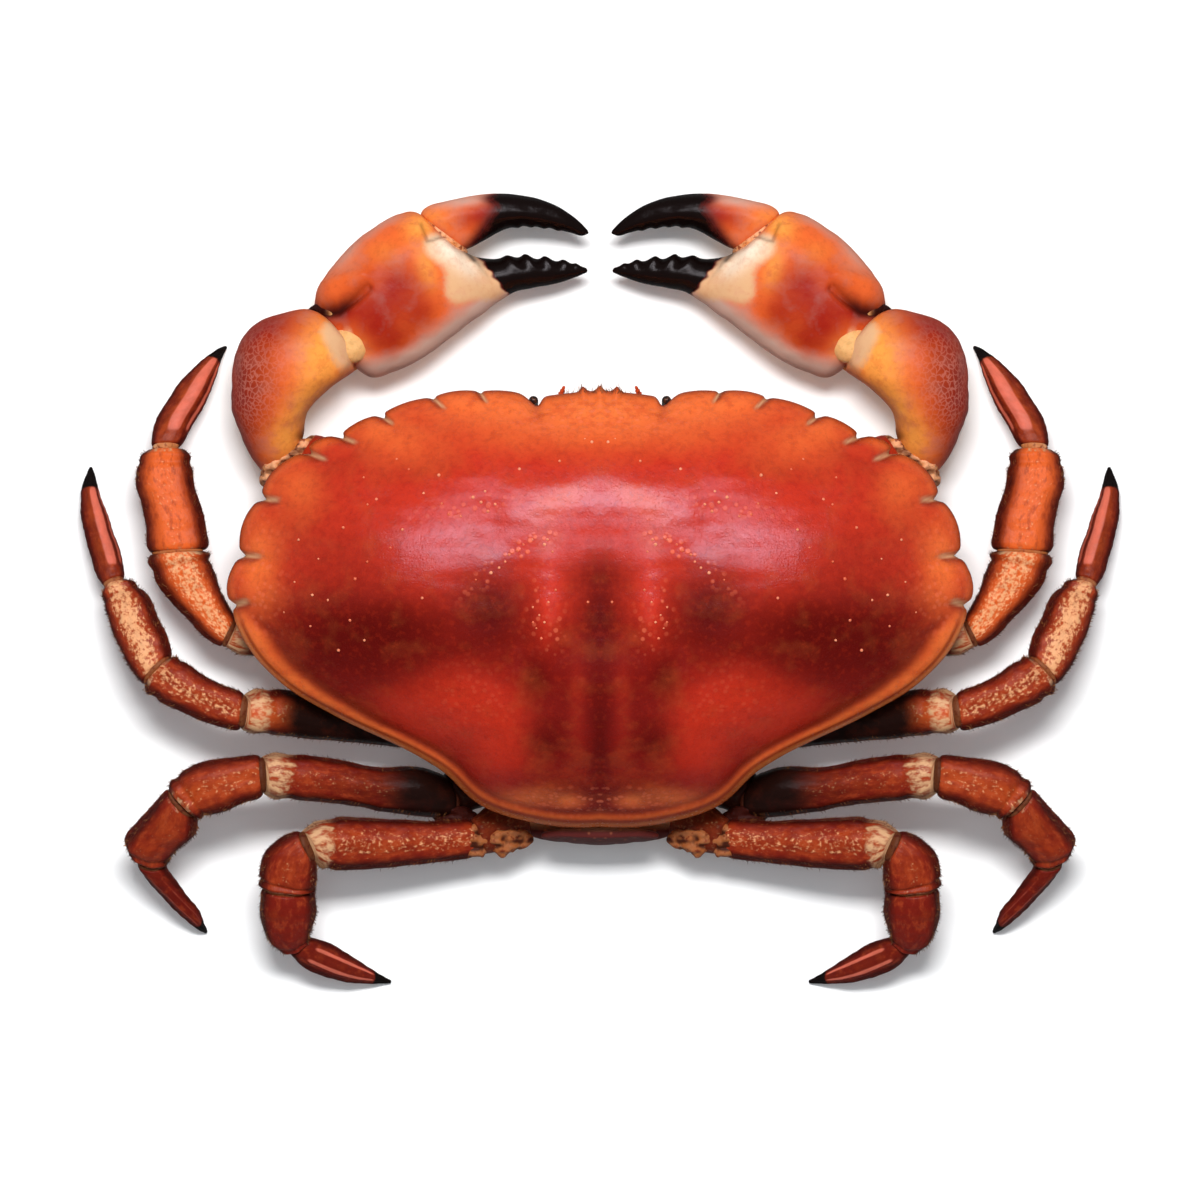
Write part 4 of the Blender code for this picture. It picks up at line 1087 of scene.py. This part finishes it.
def leg_surface(number, piece):
    """One leg piece: ridges along it, a collar at its outer joint, and its painted fields."""
    dactyl = piece == DACTYL
    limb = Limb(leg_lines(WALKING_LEGS[number], piece), 72, 76 if dactyl else 60, 2.1, 10.0)
    share, angle = limb.share, limb.angle
    seed = number * 7 + piece * 3
    if dactyl:
        limb.push(np.cos(angle * 4 + 0.6) * 0.32 * step_up(share, 0.04, 0.2) * (1 - share) ** 0.6)
    else:
        ridge = 0.20 * np.cos(angle * 3 + seed) + 0.12 * np.cos(angle * 7 + seed)
        limb.push(ridge + 0.45 * bell(share - 0.93, 0.03) - 0.35 * bell(share - 0.85, 0.03))
    limb.push(rough(limb.points, 3.4, seed) * 0.2 + rough(limb.points, 0.9, seed + 1) * 0.07)
    u, _ = on_plan(limb.points)
    middle = step_up(-np.abs(limb.across), -0.95, -0.15)
    top = step_up(limb.up, -0.3, 0.3)
    zeros = np.zeros_like(share)
    # Darker along both side edges: the edges' own dark colour and hair, and painted shade where the sides
    # turn away from the light.
    dark = step_up(np.abs(limb.across), 0.52, 0.90) * 0.9 * (0.5 + 0.5 * top)
    cream = 0.25 * (1 - top)
    dark_and_shade, stripe, black = zeros, zeros, zeros
    if dactyl:
        black = step_up(share, 0.76, 0.86)
        for centre, half_angle, strength in LEG_STRIPES[number]:
            stripe = stripe + strength * bell(angle - centre, half_angle, 4)
        stripe = np.clip(stripe, 0, 1) * step_up(share, 0.06, 0.16) * (1 - black)
        dark = np.maximum(dark, 0.35 * top) * (1 - 0.9 * stripe)
    elif LEG_PIECES[piece] == "merus":
        cream = cream + 0.62 * step_up(share, 0.80, 0.90)
        dark = dark * (1 - 0.6 * step_up(share, 0.84, 0.90))
        # The merus near the body: painted shade under the back, over the leg's own dark colour.
        if number < len(MERUS_DARK_AND_SHADE):
            dark_and_shade = step_up(u, *MERUS_DARK_AND_SHADE[number]) * top
        # Leg 3's merus darker towards the body: its own colour, and painted shade under the back.
        if number == 2:
            dark = np.maximum(dark, 0.5 * step_up(u, 290, 380))
    else:
        cream = cream + 0.5 * step_up(share, 0.9, 0.96) + 0.35 * step_up(-share, -0.08, -0.02)
    fields = {
        "follow": limb.follow(),
        "warm": np.clip(LEG_WARMTH[number][piece] * (0.2 + 0.9 * middle), 0, 1) * (0.4 + 0.6 * top),
        "dark": dark,
        "speckle": LEG_SPECKLE[number][piece] * top * (0.25 + 0.85 * middle),
        "stripe": stripe,
        "cream": cream,
        "dark_and_shade": dark_and_shade,
        "black": black,
    }
    return limb, fields


def leg_base(number):
    """The piece that joins a leg to the breast plate, and its painted fields."""
    root = np.array(WALKING_LEGS[number]["root"], float)
    hip = leg_lines(WALKING_LEGS[number], 0)[0]
    outer = hip[:3] - np.array([0, SHIFT, 0])
    half = np.linalg.norm(hip[3:5])
    stations = ((*root, half, 4.0), (*((root + outer) / 2), half * 1.12, 4.3), (*outer, half * 0.95, 4.1))
    limb = Limb(station_lines(stations), 40, 28)
    limb.push(rough(limb.points, 2.5, number + 60) * 0.5)
    plain = {"warm": 0.25, "dark": 0.4, "speckle": 0.45, "cream": 0.25, "stripe": 0.0, "black": 0.0}
    fields = {name: np.full_like(limb.share, value) for name, value in plain.items()}
    fields["follow"] = limb.follow()
    # Its top: painted shade under the back, over its own dark colour.
    fields["dark_and_shade"] = BASE_DARK_AND_SHADE[number] * step_up(limb.up, -0.5, 0.2)
    return limb, fields


def leg_bristles(limb, share, length, generator):
    """The roots, directions and lengths of the bristles along a leg piece's two edges."""
    inner = (limb.share > 0.05) & (limb.share < 0.97)
    edge = np.flatnonzero((np.abs(limb.across) > 0.80) & inner & (limb.up > -0.55))
    spots = edge[generator.random(len(edge)) < share]
    jitter = generator.normal(0, 0.25, (len(spots), 3))
    roots = limb.points[spots] - limb.outward[spots] * 0.15
    directions = unit(limb.outward[spots] * 0.8 + limb.along[spots] * 0.7 + jitter)
    return roots, directions, length * generator.uniform(0.5, 1.2, len(spots))


class CRAB_OT_legs(bpy.types.Operator):
    """Builds the walking legs of both sides, with their bristles"""

    bl_idname = "crab.legs"
    bl_label = "Walking legs"

    def execute(self, context):
        scene = context.scene
        material = leg_material(scene.crab_colours)
        hair = bristle_material()
        length = scene.crab_sizes.bristle / MM
        for number, bristle_share in enumerate(BRISTLE_SHARES):
            leg = f"leg_{number + 1}_{{}}_"
            generator = np.random.default_rng(40 + number)
            bristles = []
            for piece, piece_name in enumerate(LEG_PIECES):
                limb, fields = leg_surface(number, piece)
                if piece != DACTYL:
                    bristles.append(leg_bristles(limb, bristle_share, length, generator))
                make_pair(leg + piece_name + "_shell", limb, material, leg + piece_name, fields)
            limb, fields = leg_base(number)
            make_pair(leg + "base_shell", limb, material, leg + "base", fields)
            planted = [np.concatenate(parts) for parts in zip(*bristles)]
            for side_name, side in SIDES:
                plant_bristles(leg.format(side_name) + "bristles", *planted, side, hair)
        return {"FINISHED"}


# The soft skins that join the claws' pieces: plan lines with height and half depth.
CLAW_SKINS = (
    ((306, 308, 350, 366, 14.0, 8.0), (310, 305, 354, 368, 13.6, 8.4), (314, 302, 358, 370, 13.0, 8.0)),
    ((330, 332, 342, 364, 19.6, 4.2), (343, 326, 356, 362, 20.0, 4.8), (355, 330, 365, 358, 18.6, 3.8)),
    ((262, 478, 300, 450, 15.0, 6.5), (270, 482, 304, 458, 15.0, 7.4), (278, 488, 310, 464, 15.0, 6.0)),
    ((412, 214, 458, 256, 13.6, 5.0), (420, 214, 466, 252, 13.8, 5.4), (426, 210, 470, 248, 13.8, 5.0)),
)
# Crumpled flesh at the elbow, at the hips and between the last two legs: how dark, and its lines.
CRUMPLES = (
    (0.0, (
        (309, 432, 317, 440, 17.6, 1.5), (296, 442, 308, 452, 19.5, 2.2), (278, 452, 294, 467, 20.2, 2.6),
        (263, 465, 279, 481, 19.0, 2.4), (255, 478, 266, 490, 16.5, 1.6),
    )),
    (0.25, (
        (458, 828, 457, 850, 16.5, 1.6), (471, 824, 473, 860, 16.4, 2.5), (486, 830, 487, 852, 15.4, 2.0),
        (500, 824, 502, 856, 15.4, 2.5), (516, 826, 516, 852, 14.4, 2.2), (532, 832, 534, 848, 13.0, 1.4),
    )),
    # A dark membrane between the last two legs, its darkness partly painted shade under the back.
    (1.0, (
        (424, 796, 430, 822, 13.0, 2.0), (450, 802, 456, 838, 13.4, 2.4), (482, 814, 488, 848, 13.4, 2.4),
    )),
)
# How dark the skin is at each leg's joints, from the body outwards.
RING_SHADES = ((0.9, 0.7, 0.1, 0.25), (0.9, 0.7, 0.5, 0.3), (0.95, 0.85, 0.75, 0.8), (0.9, 0.8, 0.4, 0.8))
# The skin ring at a leg's joint: steps along the leg in mm, and sizes as shares of the leg's.
RING_STEPS = ((-1.3, 0.70), (0.0, 0.80), (1.3, 0.70))


def crumple(shade, lines):
    """A strip of crumpled flesh, and how dark it is: its given darkness, with painted shade in the crevices
    of its folds.
    """
    limb = Limb(plan_lines(lines), 72, 120, 2.0, 3.0)
    folds = rough(limb.points, 1.7, 31) + rough(limb.points, 0.8, 32) * 0.5
    limb.push(folds * 0.9 * step_up(0.5 - np.abs(limb.share - 0.5), 0.0, 0.12))
    return limb, np.clip(shade + 0.7 * step_up(-folds, -0.25, 0.45), 0, 1)


def joint_ring(leg, piece):
    """The ring of skin at a leg piece's inner joint."""
    here = leg_lines(leg, piece)
    line = here[0]
    ahead = unit(here[1, :3] - here[0, :3])
    rows = [(*(line[:3] + ahead * step), *(line[3:5] * size), line[5] * size) for step, size in RING_STEPS]
    return Limb(rows, 36, 16, 2.1, 3.0)


def skin_fields(limb, shade):
    """The painted fields of a joint skin: darker underneath, painted shade in the hole and in the wrist's
    fold, plain at the wrist.
    """
    u, v = on_plan(limb.points)
    hole = bell(u - 292, 5) * bell(v - 457, 5)
    wrist = ((u < 332) & (v < 345)) * step_up(-u, -334, -324)
    return {
        "dark": np.maximum.reduce([np.clip(-limb.up, 0, 1) * 0.4, wrist, hole, shade + 0 * u]),
        "plain": 0.75 * (u > 328) * (u < 370) * (v < 376),
        "rust": 0.8 * step_up(v, 486, 500),
    }


class CRAB_OT_skins(bpy.types.Operator):
    """Builds the soft joint skins, with the crumpled flesh at the elbows and hips"""

    bl_idname = "crab.skins"
    bl_label = "Joint skins"

    def execute(self, context):
        skins = [(Limb(plan_lines(lines), 40, 20, 2.2, 3.0), 0.0) for lines in CLAW_SKINS]
        skins += [crumple(shade, lines) for shade, lines in CRUMPLES]
        for leg, shades in zip(WALKING_LEGS, RING_SHADES):
            skins += [(joint_ring(leg, piece), shade) for piece, shade in enumerate(shades)]
        whole = bmesh.new()
        painted = []
        for limb, shade in skins:
            limb.push(rough(limb.points, 1.2, 11) * 0.12)
            painted.append(skin_fields(limb, shade))
            add_copies(whole, limb.bm)
        points = np.concatenate([limb.points for limb, _ in skins])
        fields = {name: np.concatenate([part[name] for part in painted]) for name in painted[0]}
        material = skin_material()
        for side_name, side in SIDES:
            make_piece(f"joint_skins_{side_name}", whole.copy(), mirror(points, side), material, None,
                       fields)
        whole.free()
        return {"FINISHED"}


# The underside and the face, as stations: x, y, z, half width, half depth.
BREAST_STATIONS = (
    (0, -48.5, 8.5, 14, 4.0), (0, -42, 8.5, 25, 4.0), (0, -27, 8.5, 31, 4.0), (0, -8, 8.5, 35.5, 4.0),
    (0, 8, 8.5, 34, 4.0), (0, 20, 8.5, 20, 4.0),
)
TAIL_STATIONS = (
    (0, -55.6, 22.6, 12.0, 1.5), (0, -56.6, 17.0, 13.5, 1.7), (0, -56.4, 9.0, 15.0, 1.9),
    (0, -51.5, 3.2, 17.0, 1.9), (0, -40.0, 1.9, 20.0, 1.9), (0, -20.0, 1.9, 20.5, 1.9),
    (0, -5.0, 1.9, 14.0, 1.9), (0, 5.0, 1.9, 5.0, 1.9),
)
MOUTH_STATIONS = ((4.6, 22.6, 6.0, 3.6, 1.9), (5.0, 29.0, 9.5, 4.4, 2.0), (5.4, 36.5, 16.5, 4.2, 1.9))
EYE_STATIONS = ((15.2, 41.6, 23.0, 1.0, 1.0), (15.3, 43.6, 27.0, 1.1, 1.1), (15.3, 43.8, 31.4, 1.1, 1.1))
FEELER_STATIONS = ((10.2, 40.5, 23.0, 1.5, 1.3), (9.4, 44.0, 25.5, 0.9, 0.8), (8.2, 47.2, 27.6, 0.35, 0.35))
# Seams across the breast plate, in mm along it, and across the tail, as shares of its length.
BREAST_SEAMS = (-38.0, -27.5, -16.5, -5.5, 6.0)
TAIL_SEAMS = (0.14, 0.27, 0.42, 0.57, 0.72, 0.86)


class CRAB_OT_underside(bpy.types.Operator):
    """Builds the breast plate, the folded tail, the mouth plates, the eyes and the feelers"""

    bl_idname = "crab.underside"
    bl_label = "Underside and face"

    def execute(self, context):
        colours = context.scene.crab_colours
        belly = belly_material(colours)
        self.add_breast(belly)
        self.add_tail(belly)
        mouth = Limb(station_lines(MOUTH_STATIONS), 40, 40, 2.4)
        mouth.push(rough(mouth.points, 2.0, 23) * 0.2)
        fields = {"seam_and_gap_shade": bell(mouth.share - 0.5, 0.02), "dark": np.zeros_like(mouth.share)}
        make_pair("mouth_cover_{}", mouth, belly, "mouth_plate_{}", fields)
        bead = Limb(station_lines(EYE_STATIONS), 32, 32, 2.0, 3.0)
        make_pair("eye_bead_{}", bead, eye_material(), "eye_{}")
        feeler = Limb(station_lines(FEELER_STATIONS), 24, 40, 2.0, 4.0)
        feeler.push(0.12 * np.cos(feeler.share * 60))
        fields = claw_fields(feeler, {})
        fields["dark"] = np.full_like(feeler.share, 0.6)
        make_pair("feeler_{}", feeler, claw_material(colours), "antenna_{}", fields)
        return {"FINISHED"}

    def add_breast(self, material):
        """The breast plate, with its bowed seams; the tail lies in its flat middle."""
        breast = Limb(station_lines(BREAST_STATIONS), 160, 120, 2.6, 8.0)
        aside, y = np.abs(breast.points[:, 0]), breast.points[:, 1]
        seams = np.max([bell(y - place - aside * 0.10, 0.8) for place in BREAST_SEAMS], axis=0)
        seams = seams * step_up(aside, 3, 8)
        breast.push(-0.8 * seams + rough(breast.points, 5.0, 21) * 0.3)
        breast.points[:, 2] = np.clip(breast.points[:, 2], 4.4, 12.5)
        fields = {"seam_and_gap_shade": seams, "dark": np.zeros_like(seams)}
        make_piece("breast_plate", breast.bm, breast.points, material, "sternum", fields)

    def add_tail(self, material):
        """The folded tail: its outer end is dark and shows behind the back."""
        tail = Limb(station_lines(TAIL_STATIONS), 96, 150, 3.0, 8.0)
        seams = np.max([bell(tail.share - place, 0.010) for place in TAIL_SEAMS], axis=0)
        edge = bell(np.abs(tail.across) - 0.55, 0.12)
        tail.push(-0.5 * seams - 0.25 * edge + rough(tail.points, 2.0, 22) * 0.12)
        tail.points[:, 2] = np.maximum(tail.points[:, 2], 0.0)
        fields = {"seam_and_gap_shade": seams, "dark": step_up(-tail.points[:, 1], 53.5, 56.0)}
        make_piece("folded_tail", tail.bm, tail.points, material, "tail_flap", fields)


# The studio, in metres and watts. A light gives only its gleam or only its shading.
WHITE = (1.0, 1.0, 1.0)
COOL = (0.86, 0.94, 1.0)
LIGHTS = (
    ("gleam_light", (0.0, 0.62, 1.05), (1.3, 0.23), 9.6, (0.93, 0.95, 1.0), "gleam"),
    ("top_light", (0.0, 0.05, 1.4), (0.9, 0.9), 3.4, COOL, "shade"),
    ("key_light", (0.0, 0.38, 1.2), (0.45, 0.22), 16.4, WHITE, "shade"),
    ("left_fill", (-1.15, 0.0, 0.75), (0.6, 1.0), 1.4, COOL, "shade"),
    ("right_fill", (1.15, 0.0, 0.75), (0.6, 1.0), 1.4, COOL, "shade"),
    ("back_fill", (0.0, -1.1, 0.8), (1.2, 0.5), 1.4, COOL, "shade"),
)
FLOOR_COLOUR = (0.96, 0.96, 0.96, 1)
FLOOR_GLOW = 0.05
WORLD_GLOW = 0.10
SENSOR_WIDTH = 36.0
CAMERA_DISTANCE = 3.0
# The camera's distance is kept from about half the height of the crab.
FOCUS_HEIGHT = 0.028


class CRAB_OT_stage(bpy.types.Operator):
    """Builds the pale floor, the soft studio lights and the camera straight above"""

    bl_idname = "crab.stage"
    bl_label = "Studio stage"

    def execute(self, context):
        scene = context.scene
        self.add_floor(scene)
        for light in LIGHTS:
            self.add_light(scene, *light)
        world = bpy.data.worlds.new("studio_world")
        scene.world = world
        world.use_nodes = True
        background = world.node_tree.nodes["Background"]
        background.inputs["Color"].default_value = (*WHITE, 1)
        background.inputs["Strength"].default_value = WORLD_GLOW
        lens = bpy.data.cameras.new("plan_camera")
        lens.sensor_width = SENSOR_WIDTH
        lens.lens = SENSOR_WIDTH * CAMERA_DISTANCE / (PICTURE_WIDTH * PLAN_UNIT * MM)
        lens.clip_end = 20.0
        camera = bpy.data.objects.new("plan_camera", lens)
        middle = ((PLAN_LEVEL - PICTURE_WIDTH / 2) * PLAN_UNIT + SHIFT) * MM
        camera.location = (0.0, middle, CAMERA_DISTANCE + FOCUS_HEIGHT)
        scene.collection.objects.link(camera)
        scene.camera = camera
        scene.view_settings.view_transform = "Standard"
        return {"FINISHED"}

    def add_floor(self, scene):
        """A large sheet of white paper."""
        bm = bmesh.new()
        bmesh.ops.create_grid(bm, x_segments=2, y_segments=2, size=3.0)
        mesh = bpy.data.meshes.new("studio_floor")
        bm.to_mesh(mesh)
        bm.free()
        paper = Paint("white_paper")
        mesh.materials.append(paper.finish(FLOOR_COLOUR, 0.9, Specular_IOR_Level=0.1,
                                           Emission_Color=(*WHITE, 1), Emission_Strength=FLOOR_GLOW))
        floor = bpy.data.objects.new("studio_floor", mesh)
        floor.visible_glossy = False
        scene.collection.objects.link(floor)

    def add_light(self, scene, name, place, size, power, colour, use):
        """A soft rectangular light that faces the crab."""
        lamp = bpy.data.lights.new(name, "AREA")
        lamp.shape = "RECTANGLE"
        lamp.size, lamp.size_y = size
        lamp.energy = power
        lamp.color = colour
        light = bpy.data.objects.new(name, lamp)
        light.visible_glossy = use == "gleam"
        light.visible_diffuse = use == "shade"
        light.location = place
        light.rotation_euler = (-Vector(place)).to_track_quat("-Z", "Y").to_euler()
        scene.collection.objects.link(light)


class CRAB_PT_panel(bpy.types.Panel):
    """The crab's sizes and colours, and the steps that build it"""

    bl_idname = "CRAB_PT_panel"
    bl_label = "Cooked crab"
    bl_space_type = "VIEW_3D"
    bl_region_type = "UI"
    bl_category = "Crab"

    def draw(self, context):
        layout = self.layout
        for group in (context.scene.crab_sizes, context.scene.crab_colours):
            for key in group.__annotations__:
                layout.prop(group, key)
        for operator in OPERATORS:
            layout.operator(operator.bl_idname)


OPERATORS = (CRAB_OT_back, CRAB_OT_claws, CRAB_OT_legs, CRAB_OT_skins, CRAB_OT_underside, CRAB_OT_stage)
CLASSES = (CrabColours, CrabSizes, *OPERATORS, CRAB_PT_panel)


def register():
    for cls in CLASSES:
        bpy.utils.register_class(cls)
    bpy.types.Scene.crab_colours = PointerProperty(type=CrabColours)
    bpy.types.Scene.crab_sizes = PointerProperty(type=CrabSizes)


def unregister():
    del bpy.types.Scene.crab_sizes
    del bpy.types.Scene.crab_colours
    for cls in reversed(CLASSES):
        bpy.utils.unregister_class(cls)


def main():
    register()
    bpy.ops.crab.back()
    bpy.ops.crab.claws()
    bpy.ops.crab.legs()
    bpy.ops.crab.skins()
    bpy.ops.crab.underside()
    bpy.ops.crab.stage()


if __name__ == "__main__":
    main()
